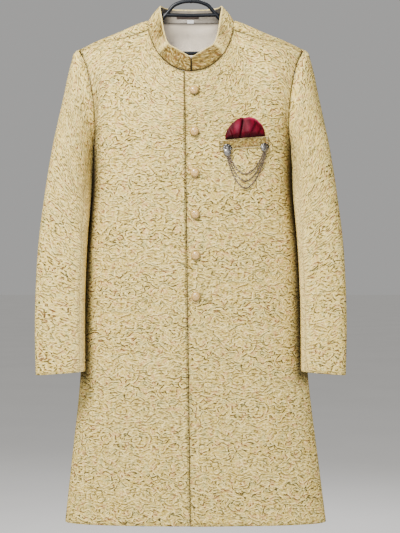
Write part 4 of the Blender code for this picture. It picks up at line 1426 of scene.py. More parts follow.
def collar_outside(grid, normals, places, uv):
    """The stand collar's brocade, creased beside the front, with painted shade inside the creases."""
    rim = COLLAR_WALL / 2
    up = np.linspace(0, 1, COLLAR_ROWS + 1)[:, None]
    front_tone = np.clip((places - CREASE_STATION - FRONT_TONE_START) / FRONT_TONE_RAMP, 0, 1)
    station, reach = SIDE_TONE
    side_tone = np.where(grid[0, :, 0] < 0, SIDE_TONE_RIGHT, SIDE_TONE_LEFT) * bell(places - station, reach)
    tone = front_tone[None] * risen(up, FRONT_TONE_RISE) + side_tone[None] * risen(up, SIDE_TONE_RISE)
    crease = bell(places - CREASE_STATION + CREASE_INSET, CREASE_WIDTH)
    middle = grid + normals * rim
    middle = middle + normals * (CREASE_HEIGHT * crease)[None, :, None]
    lit = COLLAR_CREASE_LIGHT * crease[None] * risen(up, CREASE_RISE)
    lit[-1] = np.maximum(lit[-1], TOP_EDGE_LIGHT)
    shade = np.zeros(tone.shape)
    shade[0] = SEAM_SHADE
    shade[:, (0, -1)] = 1.0
    middle[:, (0, -1), 0] = 0.0
    hung = swayed(drawn_in(middle, (inset(rim), rim, inset(rim), inset(rim))))
    piece = shell("collar_cloth", hung, normals, rim, uv, tone, shade, lit)
    look = finish("brocade_collar")
    cloth_piece(piece, "collar", look)


def collar_inside(grid, normals, uv):
    """The collar's lining, darker towards the front and high at the sides, where no light comes in."""
    up = np.linspace(0, 1, COLLAR_ROWS + 1)[:, None]
    inner = drawn_in(grid - normals * (GAP + LINING / 2), LINING_EDGES)
    across = np.abs(inner[..., 0])
    shade = risen(np.clip(across / LINING_SHADE_REACH, 0, 1) ** 3, LINING_SHADE)
    shade[0] = np.maximum(shade[0], LINING_FOOT_SHADE)
    start, ramp = LINING_SIDE_SHADE
    high = np.clip(risen(up, LINING_SIDE_RISE), 0, 1)
    shade = np.maximum(shade, np.clip((across - start) / ramp, 0, 1) * high)
    shade[:, (0, 1, 2, -3, -2, -1)] = 1.0
    piece = shell("collar_lining_cloth", swayed(inner), normals, LINING / 2, uv + LINING_SHIFT, shade=shade)
    cloth_piece(piece, "collar_lining", finish("lining_satin"))


def make_collar():
    grid, normals, places = collar_sheet()
    uv = arc_map(grid, 0.0)
    collar_outside(grid, normals, places, uv)
    collar_inside(grid, normals, uv)


# The back lining's columns left out at each side seam, and its centre pleat: (depth, width, foot, ramp).
LINING_COLUMNS_OUT = 4
LINING_PLEAT = (0.0012, 0.006, -0.55, 3)


def make_lining():
    """The back's lining, cut short of the hem and of the side seams."""
    kept = (slice(BODY_ROWS // SEAM_ROWS, None), slice(LINING_COLUMNS_OUT, -LINING_COLUMNS_OUT))
    cut, normals, lift = BACK[kept], BACK_NORMALS[kept], back_lift()[kept]
    depth, width, foot, ramp = LINING_PLEAT
    pleat = depth * bell(cut[..., 0], width) * np.clip((cut[..., 2] - foot) * ramp, 0, 1)
    sheet = cut + normals * (lift - pleat - CLOTH / 2 - GAP - LINING / 2)[..., None]
    shade = np.zeros(cut.shape[:2])
    shade[-1] = SEAM_SHADE
    piece = shell("lining_back_cloth", swayed(sheet), normals, LINING / 2, arc_map(cut, 0.0), shade=shade)
    cloth_piece(piece, "lining_back", finish("lining_satin"))


# Labels inside the collar: (node, finish, slot, left, right, low and high share of the collar's height).
LABELS = (
    ("neck_label", "dark_ribbon", "dark_label", -0.031, 0.016, 0.4, 0.66),
    ("size_tab", "white_ribbon", "white_label", -0.0085, 0.0055, 0.01, 0.26),
)
LABEL_WALL = 0.0006
LABEL_COLUMNS = 25
LABEL_ROWS = 9
# Columns of the collar, to each side of the centre back, that the labels are placed by.
LABEL_REACH = 30


def make_labels():
    grid, normals, _ = collar_sheet()
    middle = grid.shape[1] // 2
    reach = slice(middle - LABEL_REACH, middle + LABEL_REACH + 1)
    for name, look, slot, left, right, low, high in LABELS:
        places = np.linspace(left, right, LABEL_COLUMNS)
        rows = np.linspace(0, 1, COLLAR_ROWS + 1)
        points = np.array([read_row(r[reach], r[reach], places) for r in grid])
        turned = unit(np.array([read_row(r[reach], n[reach], places) for r, n in zip(grid, normals)]))
        wanted = np.linspace(low, high, LABEL_ROWS)
        flat = np.stack([smooth(rows, points[:, k], wanted) for k in range(len(places))], axis=1)
        face = unit(np.stack([smooth(rows, turned[:, k], wanted) for k in range(len(places))], axis=1))
        sheet = flat - face * (LINING + 4 * GAP + LABEL_WALL)
        piece = shell(f"{name}_ribbon", swayed(sheet), face, LABEL_WALL / 2, arc_map(flat, 0.0))
        cloth_piece(piece, name, finish(look))


# ---- Hard pieces, made with Blender's own tools ----


def deselect():
    if bpy.context.object and bpy.context.object.mode != "OBJECT":
        bpy.ops.object.mode_set(mode="OBJECT")
    bpy.ops.object.select_all(action="DESELECT")


def edit_all(tool, **how):
    """Runs an edit-mode tool on the whole of the active mesh."""
    bpy.ops.object.mode_set(mode="EDIT")
    bpy.ops.mesh.select_all(action="SELECT")
    tool(**how)
    bpy.ops.object.mode_set(mode="OBJECT")


def edit_vertices(obj, move):
    """Moves every vertex of a mesh to where move sends its coordinates, all at once."""
    co = np.zeros(len(obj.data.vertices) * 3)
    obj.data.vertices.foreach_get("co", co)
    obj.data.vertices.foreach_set("co", move(co.reshape(-1, 3)).ravel())
    obj.data.update()


def fixed_in_mesh(obj, matrix):
    """Moves a mesh to its place, with its object left at the origin."""
    obj.data.transform(matrix)
    obj.matrix_world = Matrix.Identity(4)
    obj.data.update()
    return obj


def copied(obj, name, matrix):
    return fixed_in_mesh(placed(name, obj.data.copy()), matrix)


def stood_on(point, normal):
    """The placing that stands +Z along a normal at a point."""
    turn = Vector(normal).to_track_quat("Z", "Y").to_matrix().to_4x4()
    return Matrix.Translation(Vector(point)) @ turn


def joined(pieces, name):
    deselect()
    for piece in pieces:
        piece.select_set(True)
    bpy.context.view_layer.objects.active = pieces[0]
    if len(pieces) > 1:
        bpy.ops.object.join()
    pieces[0].name = name
    return pieces[0]


def smooth_faces(obj, angle=45):
    deselect()
    obj.select_set(True)
    bpy.context.view_layer.objects.active = obj
    bpy.ops.object.shade_smooth_by_angle(angle=np.radians(angle))


# A button's ball is cut this far below its middle, and its cloth is pleated from this height down.
BUTTON_CUT = 0.38
PLEATS_FROM = 0.55
PLEAT_COUNT = 13
PLEAT_DEPTH = 0.03
PLEAT_UNEVEN = 0.7
BUTTON_TURN = 0.9
# Painted shade round the dome's rim: how far down the dome it starts, how fast it comes, and its strength
# there.
RIM_SHADE_FROM = 0.24
RIM_SHADE_RAMP = 3.0
RIM_SHADE_BASE = 0.85
RIM_SHADE_UNDER = 0.45
# The way down and to one side, away from the key light: (across, down).
SHADED_WAY = (0.5, 0.87)


def button_dome():
    """A covered button: a flattened ball cut flat behind, its cloth gathered in small pleats at the rim."""
    radius, height = trim_settings().button_radius, trim_settings().button_height
    deselect()
    bpy.ops.mesh.primitive_uv_sphere_add(segments=72, ring_count=36, radius=1.0)
    dome = bpy.context.object
    cut = {"plane_co": (0, 0, -BUTTON_CUT), "plane_no": (0, 0, 1)}
    edit_all(bpy.ops.mesh.bisect, use_fill=True, clear_inner=True, **cut)

    def gather(co):
        angle = np.arctan2(co[:, 1], co[:, 0])
        low = np.clip(PLEATS_FROM - co[:, 2], 0, 1) ** 2
        pleats = 1 + PLEAT_DEPTH * low * np.cos(PLEAT_COUNT * angle + PLEAT_UNEVEN * np.sin(3 * angle))
        out = co.copy()
        out[:, :2] *= pleats[:, None] * radius / (1 + PLEAT_DEPTH)
        out[:, 2] = (co[:, 2] + BUTTON_CUT) / (1 + BUTTON_CUT) * height
        return out

    edit_vertices(dome, gather)
    low = 1 - np.array([vertex.co.z for vertex in dome.data.vertices]) / height
    # Painted shade, deepening down the dome towards its rim.
    write_values(dome.data, "tone", np.clip((low - RIM_SHADE_FROM) * RIM_SHADE_RAMP, 0, 1))
    smooth_faces(dome, 60)
    return dome


def deepen_under(button, point):
    """More painted shade on the rim's underside, away from the key light, where a button meets the cloth it
    hangs on.
    """
    off = np.array([vertex.co for vertex in button.data.vertices]) - point
    across, down = SHADED_WAY
    under = np.clip((across * off[:, 0] - down * off[:, 2]) / trim_settings().button_radius, -1, 1)
    tone = read_values(button.data, "tone") * (RIM_SHADE_BASE + RIM_SHADE_UNDER * under)
    write_values(button.data, "tone", np.clip(tone, 0, 1))


def make_buttons():
    dome = button_dome()
    for k in range(BUTTON_COUNT):
        z = BUTTON_TOP_Z - k * BUTTON_PITCH
        x = BUTTON_X + float(lean(z))
        point, normal = front_face().at(x, z)
        turn = Matrix.Rotation(BUTTON_TURN * k, 4, "Z")
        made = copied(dome, f"button_{k + 1}_cover", stood_on(point + normal * GAP, normal) @ turn)
        deepen_under(made, point)
        hard_piece(made, [f"button_{k + 1}"], finish("button_satin"))
    bpy.data.objects.remove(dome, do_unlink=True)


# Breast pocket.
WELT_X = 0.1064
WELT_Z = -0.3725
WELT_WIDTH = 0.0985
WELT_HEIGHT = 0.0212
WELT_TILT = 0.108
WELT_RIM = 0.001
WELT_BULGE = 0.0004
WELT_TONE = 0.86
WELT_EDGE_LIGHT = 0.9
WELT_END_SHADE = 0.85


def welt_point(a, b):
    """A point on the front's face, a across and b up from the welt's centre along its slant."""
    return front_face().at(WELT_X + a, WELT_Z + b + a * WELT_TILT)


def make_pocket():
    rim = WELT_RIM
    across = np.linspace(-0.5, 0.5, 61) * WELT_WIDTH
    up = np.linspace(-0.5, 0.5, 13) * WELT_HEIGHT
    points, normals = welt_point(across[None, :], up[:, None])
    fold = WELT_BULGE * np.cos(np.pi * up / WELT_HEIGHT)[:, None, None]
    sheet = points + normals * (2 * GAP + rim + fold)
    uv = np.stack(np.broadcast_arrays(across[None, :], up[:, None]), axis=-1)
    tone = np.full(uv.shape[:2], WELT_TONE)
    lit, shade = np.zeros(tone.shape), np.zeros(tone.shape)
    lit[(0, -1), :] = WELT_EDGE_LIGHT
    shade[:, (0, -1)] = WELT_END_SHADE
    sheet = drawn_in(sheet, (rim, rim, rim, rim))
    piece = shell("pocket_welt_cloth", sheet, normals, rim, uv, tone, shade, lit)
    cloth_piece(piece, "pocket_welt", finish("brocade_welt"))
    make_stitches()


# Half a stitch's length as a share of its step, and how high its middle and its ends lie, in radii.
STITCH_REACH = 0.36
STITCH_MIDDLE = 0.5
STITCH_END = -0.4
# The stitching: insets from the welt's ends and edges, stitches in a long row, and the rows at each end.
STITCH_INSET = (0.0022, 0.002)
STITCH_LIFT = 2 * GAP + 0.0021
LONG_ROW = 34
SHORT_ROW = 3
END_ROWS = 4
END_ROW_STEP = 0.0009
THREAD = 0.0003
LONG_ROW_RADIUS = 0.00028
SHORT_ROW_RADIUS = 0.00035
# A way that no stitch runs, from which each one's section is turned.
ASIDE = (0.13, -1.0, 0.07)


def stitch_row(a0, b0, a1, b1, count, radius):
    """A row of short stitches on the welt, each a slim pill lying along the row."""
    made = []
    step = STITCH_REACH / count
    for k in range(count):
        u = (k + 0.5) / count
        a, b = a0 + (a1 - a0) * u, b0 + (b1 - b0) * u
        line = []
        for s, height in ((-1, STITCH_END), (0, STITCH_MIDDLE), (1, STITCH_END)):
            point, normal = welt_point(a + s * (a1 - a0) * step, b + s * (b1 - b0) * step)
            line.append(point + normal * (STITCH_LIFT + radius * height))
        made.append(line)
    return made


def pill_mesh(name, lines, radius, sides=6):
    """One mesh of many slim pills, each through the three points of its line."""
    verts, faces = [], []
    ring = np.arange(sides) * 2 * np.pi / sides
    for line in lines:
        line = np.array(line)
        forward = unit(line[-1] - line[0])
        side = unit(np.cross(forward, ASIDE))
        other = np.cross(forward, side)
        start = len(verts)
        verts.append(line[0] - forward * radius)
        for point in line:
            verts.extend(point + radius * (np.cos(a) * side + np.sin(a) * other) for a in ring)
        verts.append(line[-1] + forward * radius)
        last = len(verts) - 1
        for i in range(sides):
            j = (i + 1) % sides
            faces.append((start, start + 1 + j, start + 1 + i))
            for k in range(len(line) - 1):
                low, high = start + 1 + k * sides, start + 1 + (k + 1) * sides
                faces.append((low + i, low + j, high + j, high + i))
            faces.append((last, last - sides + i, last - sides + j))
    mesh = bpy.data.meshes.new(name)
    mesh.from_pydata([tuple(v) for v in verts], [], faces)
    mesh.polygons.foreach_set("use_smooth", [True] * len(mesh.polygons))
    return placed(name, mesh)


def make_stitches():
    half_width, half_height = WELT_WIDTH / 2 - STITCH_INSET[0], WELT_HEIGHT / 2 - STITCH_INSET[1]
    lines = []
    for b in (half_height, -half_height):
        lines += stitch_row(-half_width, b, half_width, b, LONG_ROW, LONG_ROW_RADIUS)
    for side in (-1, 1):
        for k in range(END_ROWS):
            a = side * (half_width - END_ROW_STEP * k)
            lines += stitch_row(a, -half_height, a, half_height, SHORT_ROW, SHORT_ROW_RADIUS)
    made = pill_mesh("pocket_stitches", lines, THREAD)
    made.data.materials.append(finish("sewing_thread"))
    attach(made, BODY)


# Pocket square.
SQUARE_X = 0.108
SQUARE_WIDTH = 0.08
SQUARE_HEIGHT = 0.04
SQUARE_CUT = 0.041
SQUARE_FOOT = 0.0002
SQUARE_DEPTH = 0.012
SQUARE_WALL = 0.0008
SQUARE_ROWS = 34
SQUARE_COLUMNS = 96
# Its folds: (place across at the foot, at the crown, width, depth share).
SQUARE_FOLDS = (
    (-0.58, -0.8, 0.08, 0.5),
    (-0.27, -0.08, 0.12, 1.0),
    (0.22, 0.66, 0.15, 0.5),
    (0.6, 0.93, 0.1, 0.4),
)
# How wide each side of a fold is: one rolls over slowly and the other falls steeply under the next lobe.
FOLD_SLOW = 1.8
FOLD_STEEP = 0.6
# Painted shade in a fold: (its place, its width), as shares of the fold's width.
FOLD_DARK = (0.2, 0.55)
FOLD_DEEPEST = 1.1
FOLD_FILLING = 0.62
CROWN_DIP = 0.022
# Height of the satin over the front at the square's foot, and how the puff rises from it.
SQUARE_LIFT = 0.0016
FOOT_SHARE = 0.35
FOOT_RISE = 0.25
PUFF_PLACE = 0.1
PUFF_LEAST = 0.02
# How much of the front's own slant the thin satin's two faces keep.
FACE_SHARE = 0.15
# Painted shade at the foot, and at the outer side: (strength, place, width).
FOOT_DARK = (0.85, 0.0, 0.24)
SIDE_DARK = (0.45, -0.85, 0.25)
# Light along the crown: (strength, width, start), and on two lobes: (strength, across, width, up, height).
CROWN_LIGHT = (1.4, 0.1, 0.3)
LOBE_LIGHTS = ((0.34, -0.42, 0.13, 0.62, 0.24), (0.14, 0.22, 0.2, 0.45, 0.25))


def square_folds(u, v):
    """How deep the square's folds are at each place, and how much painted shade lies in them."""
    notch = np.zeros_like(u * v)
    dark = np.zeros_like(notch)
    for foot, crown, width, depth in SQUARE_FOLDS:
        off = u - (foot + (crown - foot) * v)
        shape = np.where(off > 0, bell(off, width * FOLD_SLOW), bell(off, width * FOLD_STEEP))
        notch = notch + depth * shape
        place, reach = FOLD_DARK
        dark = np.maximum(dark, depth * bell(off + width * place, width * reach))
    return np.clip(notch, 0, FOLD_DEEPEST), dark


def make_square():
    v = np.linspace(0, 1, SQUARE_ROWS + 1)[:, None]
    u = np.linspace(-1, 1, SQUARE_COLUMNS + 1)[None, :]
    notch, dark = square_folds(u, v)
    arch = np.sqrt(np.clip(1 - u**2, 0, 1))
    up = WELT_HEIGHT / 2 + SQUARE_FOOT + v * SQUARE_HEIGHT * arch * (1 - CROWN_DIP * notch * v**3)
    x = SQUARE_X + u * SQUARE_WIDTH / 2 + 0 * v
    points, normals = front_face().at(x, WELT_Z + up + (x - WELT_X) * WELT_TILT)
    puff = arch * np.sqrt(np.clip(1 - (v - PUFF_PLACE) ** 2, PUFF_LEAST, 1))
    rising = FOOT_SHARE + (1 - FOOT_SHARE) * np.clip(v / FOOT_RISE, 0, 1)
    depth = SQUARE_LIFT + SQUARE_DEPTH * puff * (1.0 - FOLD_FILLING * notch) * rising
    sheet = points + normals * depth[..., None]
    turned = unit(normals_of(sheet) + FACE_SHARE * normals)
    uv = np.stack([u * SQUARE_WIDTH / 2 + 0 * v, v * SQUARE_CUT + 0 * u], axis=-1)
    # Painted shade at the foot and the outer side; below, painted highlights along the crown and on two
    # lobes.
    foot, side = (k * bell(place - at, w) for place, (k, at, w) in ((v, FOOT_DARK), (u, SIDE_DARK)))
    dark = np.clip(np.maximum(dark, foot + side), 0, 1)
    share, width, start = CROWN_LIGHT
    lit = np.clip(share * bell(v - 1, width) * np.clip(u + start, 0, 1), 0, 1)
    for share, across, width, height, reach in LOBE_LIGHTS:
        lit = np.maximum(lit, share * bell(u - across, width) * bell(v - height, reach))
    piece = shell("pocket_square_satin", sheet, turned, SQUARE_WALL / 2, uv, dark, lit=lit)
    look = finish("crimson_satin")
    cloth_piece(piece, "pocket_square", look)


# Brooches and chains.
BROOCHES = (("brooch_inner", 0.0729, -0.3833), ("brooch_outer", 0.1469, -0.38))
BROOCH_RADIUS = 0.0085
BROOCH_SCALE = 1.12
PLATE_THICK = 0.0014
PLATE_BEVEL = 0.0003
# The scallop of the plate: its smallest radius and how far the scallops reach, as shares of the brooch's.
SCALLOP = (0.9, 0.08)
# Rings of balls on the plate: (way out, height, radius, squash, segments, share of a petal's turn).
PETAL_RINGS = ((0.0058, 0.0016, 0.0021, 0.75, 16, 0.5), (0.0076, 0.0017, 0.0007, 1.0, 10, 0.0))
# The ribbed dome: (radius, height, foot, ribs, depth of a rib), and how far up it the ribs run.
DOME = (0.0042, 0.0034, 0.0016, 12, 0.07)
RIB_REACH = 1.2
TOP_BEAD = 0.001
TOP_BEAD_HEIGHT = 0.0052
# The darkened beads on the upper side: (angle, way from the middle, radius), and their height.
BEADS = ((50, 0.0062, 0.0016), (10, 0.0072, 0.0014), (88, 0.0068, 0.0012))
BEAD_HEIGHT = 0.0034
# The drop on each brooch: (across, up, radius, lift) from the flower, and its squash.
BROOCH_DROPS = ((0.0, -0.0077, 0.0084, 0.0016), (-0.002, -0.0014, 0.0072, 0.0042))
DROP_SQUASH = 0.5
# The ring below each flower: (radius, wire, distance below the plate's edge, lift over the welt).
BAIL_RING = (0.0016, 0.0005, 0.0009, 0.0012)
WELT_WALL = 0.002
CHAIN_DROPS = (0.042, 0.056, 0.07)
CHAIN_PITCH = 0.0026
CHAIN_LANDING = 0.18
CHAIN_START = 0.0016
CHAIN_LIFT = 0.003
CHAIN_CURVE = 3.0
CHAIN_SPREAD = 0.06
CHAIN_RADIUS = 0.0009
LINK_WIRE = 0.00056
LINK_STRETCH = 1.35
LINK_CLOSENESS = 0.98
LINK_TURN = 42


def ball(radius, place, squash=1.0, segments=20):
    deselect()
    size = {"segments": segments, "ring_count": segments // 2, "radius": radius}
    bpy.ops.mesh.primitive_uv_sphere_add(location=place, **size)
    made = bpy.context.object
    made.scale = (1, 1, squash)
    bpy.ops.object.transform_apply(location=True, rotation=True, scale=True)
    return made


def around(angle, reach, height):
    return (reach * np.cos(angle), reach * np.sin(angle), height)


def scallop(co):
    """Moves a unit disc's rim in and out, once for each petal."""
    smallest, more = SCALLOP
    wave = np.abs(np.cos(trim_settings().petals * np.arctan2(co[:, 1], co[:, 0]) / 2))
    out = co.copy()
    out[:, :2] *= (BROOCH_RADIUS * (smallest + more * wave))[:, None]
    return out


def rib(co):
    """Shapes a unit ball into the ribbed dome."""
    radius, height, foot, count, depth = DOME
    out = co.copy()
    band = np.clip(1 - np.abs(co[:, 2]) * RIB_REACH, 0, 1)
    out[:, :2] *= (radius * (1 + depth * band * np.cos(count * np.arctan2(co[:, 1], co[:, 0]))))[:, None]
    out[:, 2] = foot + co[:, 2] * height
    return out


def brooch_form():
    """A small flower: a scalloped plate, rings of petals and beads, a ribbed dome and three dark beads."""
    petals = trim_settings().petals
    deselect()
    bpy.ops.mesh.primitive_cylinder_add(
        vertices=8 * petals, radius=1.0, depth=PLATE_THICK, location=(0, 0, PLATE_THICK / 2)
    )
    parts = [bpy.context.object]
    edit_vertices(parts[0], scallop)
    edit_all(bpy.ops.mesh.bevel, offset=PLATE_BEVEL, segments=2)
    for k in range(petals):
        for reach, height, radius, squash, segments, share in PETAL_RINGS:
            angle = 2 * np.pi * (k + share) / petals
            parts.append(ball(radius, around(angle, reach, height), squash, segments))
    dome = ball(1.0, (0, 0, 0), 1.0, 48)
    edit_vertices(dome, rib)
    parts.append(dome)
    parts.append(ball(TOP_BEAD, (0, 0, TOP_BEAD_HEIGHT), 1.0, 12))
    for angle, reach, size in BEADS:
        bead = ball(size, around(np.radians(angle), reach, BEAD_HEIGHT), 1.0, 14)
        write_values(bead.data, "tone", np.ones(len(bead.data.vertices)))
        parts.append(bead)
    made = joined(parts, "brooch_form")
    edit_vertices(made, lambda co: co * (BROOCH_SCALE, BROOCH_SCALE, 1.0))
    return made


def drop_ring(radius, wire, place, around=28, across=8):
    deselect()
    bpy.ops.mesh.primitive_torus_add(
        major_radius=radius, minor_radius=wire, major_segments=around, minor_segments=across, location=place
    )
    made = bpy.context.object
    bpy.ops.object.transform_apply(location=True, rotation=True, scale=True)
    return made


def on_front(x, z, lift):
    """The placing that stands a piece on the front at x and z, lifted off its face."""
    point, normal = front_face().at(x, z)
    return stood_on(point + normal * lift, normal)


def make_brooches():
    form = brooch_form()
    smooth_faces(form, 50)
    radius, wire, below, ring_lift = BAIL_RING
    for (name, x, z), (across, up, size, lift) in zip(BROOCHES, BROOCH_DROPS):
        flower = copied(form, f"{name}_flower", on_front(x, z, 3 * GAP + WELT_WALL))
        # The ring and the drop that the chains hang from lie below the flower.
        ring = drop_ring(radius, wire, (0, 0, 0))
        fixed_in_mesh(ring, on_front(x, z - BROOCH_RADIUS - below, WELT_WALL + ring_lift))
        drop = ball(size, (0, 0, 0), DROP_SQUASH, 28)
        fixed_in_mesh(drop, on_front(x + across, z + up, WELT_WALL + lift))
        made = joined([flower, ring, drop], f"{name}_flower")
        smooth_faces(made, 50)
        hard_piece(made, [name], finish("antique_silver"))
    bpy.data.objects.remove(form, do_unlink=True)


def chain_path(k):
    """A chain's line, hung between the brooches and lying on the front."""
    (_, left_x, left_z), (_, right_x, right_z) = BROOCHES
    shift = CHAIN_PITCH * (1 - k)
    start, end = left_x + shift, right_x - shift
    u = np.linspace(0, 1, 400)
    deepest = np.cosh(CHAIN_CURVE)
    sag = (np.cosh(CHAIN_CURVE * (2 * u - 1)) - deepest) / (deepest - 1)
    x = start + (end - start) * (u + CHAIN_SPREAD * np.sin(2 * np.pi * u))
    z = left_z + (right_z - left_z) * u - BROOCH_RADIUS - CHAIN_START + CHAIN_DROPS[k] * sag
    points, normals = front_face().at(x, z)
    rise = np.clip(1 - np.minimum(u, 1 - u) / CHAIN_LANDING, 0, 1)[:, None]
    return points + normals * (CHAIN_RADIUS + GAP + CHAIN_LIFT * rise), normals


def read_path(run, values, s):
    """Reads values along a path at the length s."""
    return np.array([np.interp(s, run, column) for column in values.T])


def make_chains():
    radius = trim_settings().link_radius
    link = drop_ring(radius, LINK_WIRE, (0, 0, 0), 12, 5)
    edit_vertices(link, lambda co: co * (LINK_STRETCH, 1.0, 1.0))
    pitch = 2 * (LINK_STRETCH * radius - LINK_WIRE) * LINK_CLOSENESS
    for k in range(len(CHAIN_DROPS)):
        path, normals = chain_path(k)
        run = np.concatenate([[0], np.cumsum(np.linalg.norm(np.diff(path, axis=0), axis=1))])
        links = []
        for n, s in enumerate(np.arange(pitch / 2, run[-1], pitch)):
            point = read_path(run, path, s)
            along = unit(read_path(run, path, s + pitch / 2) - point)
            side = unit(np.cross(unit(read_path(run, normals, s)), along))
            up = np.cross(along, side)
            turn = np.radians(LINK_TURN if n % 2 else -LINK_TURN)
            side, up = np.cos(turn) * side + np.sin(turn) * up, np.cos(turn) * up - np.sin(turn) * side
            placing = Matrix(np.column_stack([along, side, up, point]).tolist() + [[0, 0, 0, 1]])
            links.append(copied(link, f"link_{n}", placing))
        made = joined(links, f"chain_{k + 1}_links")
        smooth_faces(made, 60)
        hard_piece(made, [f"chain_{k + 1}"], finish("chain_silver"))
    bpy.data.objects.remove(link, do_unlink=True)


# Hanger.
TUBE = 0.0048
BAR_TUBE = 0.004
BRACE_TUBE = 0.004
BRACE_LINE = ((-0.056, -0.0978), (-0.028, -0.0986), (0.0, -0.0992), (0.028, -0.0986), (0.056, -0.0978))
ARM_LINE = (
    (0.0, -0.0692),
    (0.015, -0.0706),
    (0.026, -0.0738),
    (0.0366, -0.0794),
    (0.0476, -0.092),
    (0.059, -0.105),
    (0.088, -0.1313),
    (0.1046, -0.1363),
    (0.1213, -0.1413),
    (0.1379, -0.1463),
    (0.1545, -0.1513),
    (0.1711, -0.1563),
    (0.1877, -0.1613),
    (0.2044, -0.1679),
    (0.221, -0.1766),
)
HOOK_TUBE = 0.0022
HOOK_RADIUS = 0.02
HOOK_START = -62
HOOK_END = 205
HOOK_STEM = (-0.07, -0.064, -0.0625, -0.052, -0.047)
HOOK_BEND = (0.003, 0.0, -0.043)
BOSS_RADIUS = 0.0042
# The arms' thinner tops, and how far the bar's ends run into the arms.
TOP_THIN = 0.82
TOP_POINTS = 5
BAR_OVERLAP = 0.002
# Rounded ends of a rod: (reach, thickness), both as shares of its radius.
ROD_CAPS = ((0.62, 0.75), (0.9, 0.42))
ROD_STEPS = 8


def rod(name, points, radius, radii=None):
    """A smooth round bar through the points, with rounded ends, as a mesh."""
    deselect()
    bpy.ops.curve.primitive_nurbs_path_add()
    made = bpy.context.object
    curve = made.data
    curve.splines.clear()
    line = curve.splines.new("POLY")
    places = np.linspace(0, len(points) - 1, ROD_STEPS * (len(points) - 1) + 1)
    fine = stations([tuple(p) for p in points], places)
    radii = np.full(len(points), radius) if radii is None else np.array(radii)
    sizes = np.interp(places, range(len(points)), radii)
    start, end = unit(fine[0] - fine[1]), unit(fine[-1] - fine[-2])
    first = [fine[0] + start * sizes[0] * reach for reach, _ in ROD_CAPS[::-1]]
    last = [fine[-1] + end * sizes[-1] * reach for reach, _ in ROD_CAPS]
    fine = np.concatenate([first, fine, last])
    thin = [share for _, share in ROD_CAPS]
    sizes = np.concatenate([sizes[0] * np.array(thin[::-1]), sizes, sizes[-1] * np.array(thin)])
    line.points.add(len(fine) - 1)
    line.points.foreach_set("co", np.column_stack([fine, np.ones(len(fine))]).ravel())
    line.points.foreach_set("radius", sizes / radius)
    curve.dimensions = "3D"
    curve.bevel_depth = radius
    curve.bevel_resolution = 6
    curve.use_fill_caps = True
    made.name = name
    bpy.ops.object.convert(target="MESH")
    return made


def make_hanger():
    thick = [TUBE * TOP_THIN] * TOP_POINTS + [TUBE] * (len(ARM_LINE) - TOP_POINTS)
    parts = [rod(f"arm_{flip}", [(flip * x, 0.0, z) for x, z in ARM_LINE], TUBE, thick) for flip in (1, -1)]
    low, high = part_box("hanger_bar")
    z = (low.z + high.z) / 2
    ends = (low.x - BAR_OVERLAP, 0.0, high.x + BAR_OVERLAP)
    parts.append(rod("bar", [(x, 0.0, z) for x in ends], BAR_TUBE))
    parts.append(rod("brace", [(x, 0.0, z) for x, z in BRACE_LINE], BRACE_TUBE))
    made = joined(parts, "hanger_frame")
    smooth_faces(made, 60)
    hard_piece(made, [*ARMS, "hanger_brace", "hanger_bar"], finish("moulded_plastic"))
    middle = HOOK_RADIUS + HOOK_TUBE
    angles = np.radians(np.linspace(HOOK_START, HOOK_END, 20))
    arc = [(middle * np.cos(a), 0.0, middle * np.sin(a) - HOOK_RADIUS) for a in angles]
    points = [(0.0, 0.0, z) for z in HOOK_STEM] + [HOOK_BEND] + arc
    radii = [BOSS_RADIUS, BOSS_RADIUS, HOOK_TUBE] + [HOOK_TUBE] * (len(points) - 3)
    hook = rod("hanger_hook_rod", points, HOOK_TUBE, radii)
    smooth_faces(hook, 60)
    hard_piece(hook, ["hanger_hook"], finish("moulded_plastic"))


# ---- Stage ----


FLOOR_WIDTH = 90.0
LIGHT_AIM = (0.0, 0.0, -0.55)
# Studio lights: (name, place, side of its square, colour, which of the stage's powers it takes).
LIGHTS = (
    ("key", (-0.75, -1.6, 1.05), 0.7, (1.0, 0.98, 0.95), "key_power"),
    ("fill", (0.5, -3.1, -0.2), 1.4, (0.98, 0.98, 1.0), "fill_power"),
    ("back_fill", (0.9, 2.3, 1.1), 1.6, (0.98, 0.98, 1.0), "back_power"),
)
SKY_COLOUR = (1.0, 0.99, 0.97, 1.0)
SKY_STRENGTH = 0.4


def area_light(name, place, side, hue, strength):
    deselect()
    bpy.ops.object.light_add(type="AREA", location=place)
    light = bpy.context.object
    light.name = name
    light.rotation_euler = (Vector(LIGHT_AIM) - Vector(place)).to_track_quat("-Z", "Y").to_euler()
    light.data.shape = "RECTANGLE"
    light.data.size = light.data.size_y = side
    light.data.energy = strength
    light.data.color = hue


def make_stage():
    settings = stage_settings()
    floor_z = HEM_Z - settings.floor_drop
    deselect()
    bpy.ops.mesh.primitive_plane_add(size=1.0)
    floor = bpy.context.object
    floor.name = "floor"
    edit_all(bpy.ops.mesh.subdivide, number_cuts=12)
    edit_vertices(floor, lambda co: co * FLOOR_WIDTH + (0, 0, floor_z))
    floor.data.materials.append(finish("pale_floor"))

    for name, place, side, hue, key in LIGHTS:
        area_light(name, place, side, hue, getattr(settings, key))
    world = bpy.data.worlds.new("studio")
    bpy.context.scene.world = world
    world.use_nodes = True
    sky = world.node_tree.nodes["Background"].inputs
    sky["Color"].default_value = SKY_COLOUR
    sky["Strength"].default_value = SKY_STRENGTH

    camera = bpy.data.cameras.new("camera")
    camera.sensor_fit = "HORIZONTAL"
    camera.sensor_width = SENSOR
    camera.lens = CAMERA_DISTANCE / (STEP_AT_HOOK * IMAGE_WIDTH) * SENSOR
    made = placed("camera", camera)
    made.location = (CAMERA_X, -CAMERA_DISTANCE, CAMERA_Z)
    made.rotation_euler = (np.pi / 2, 0, 0)
    bpy.context.scene.camera = made


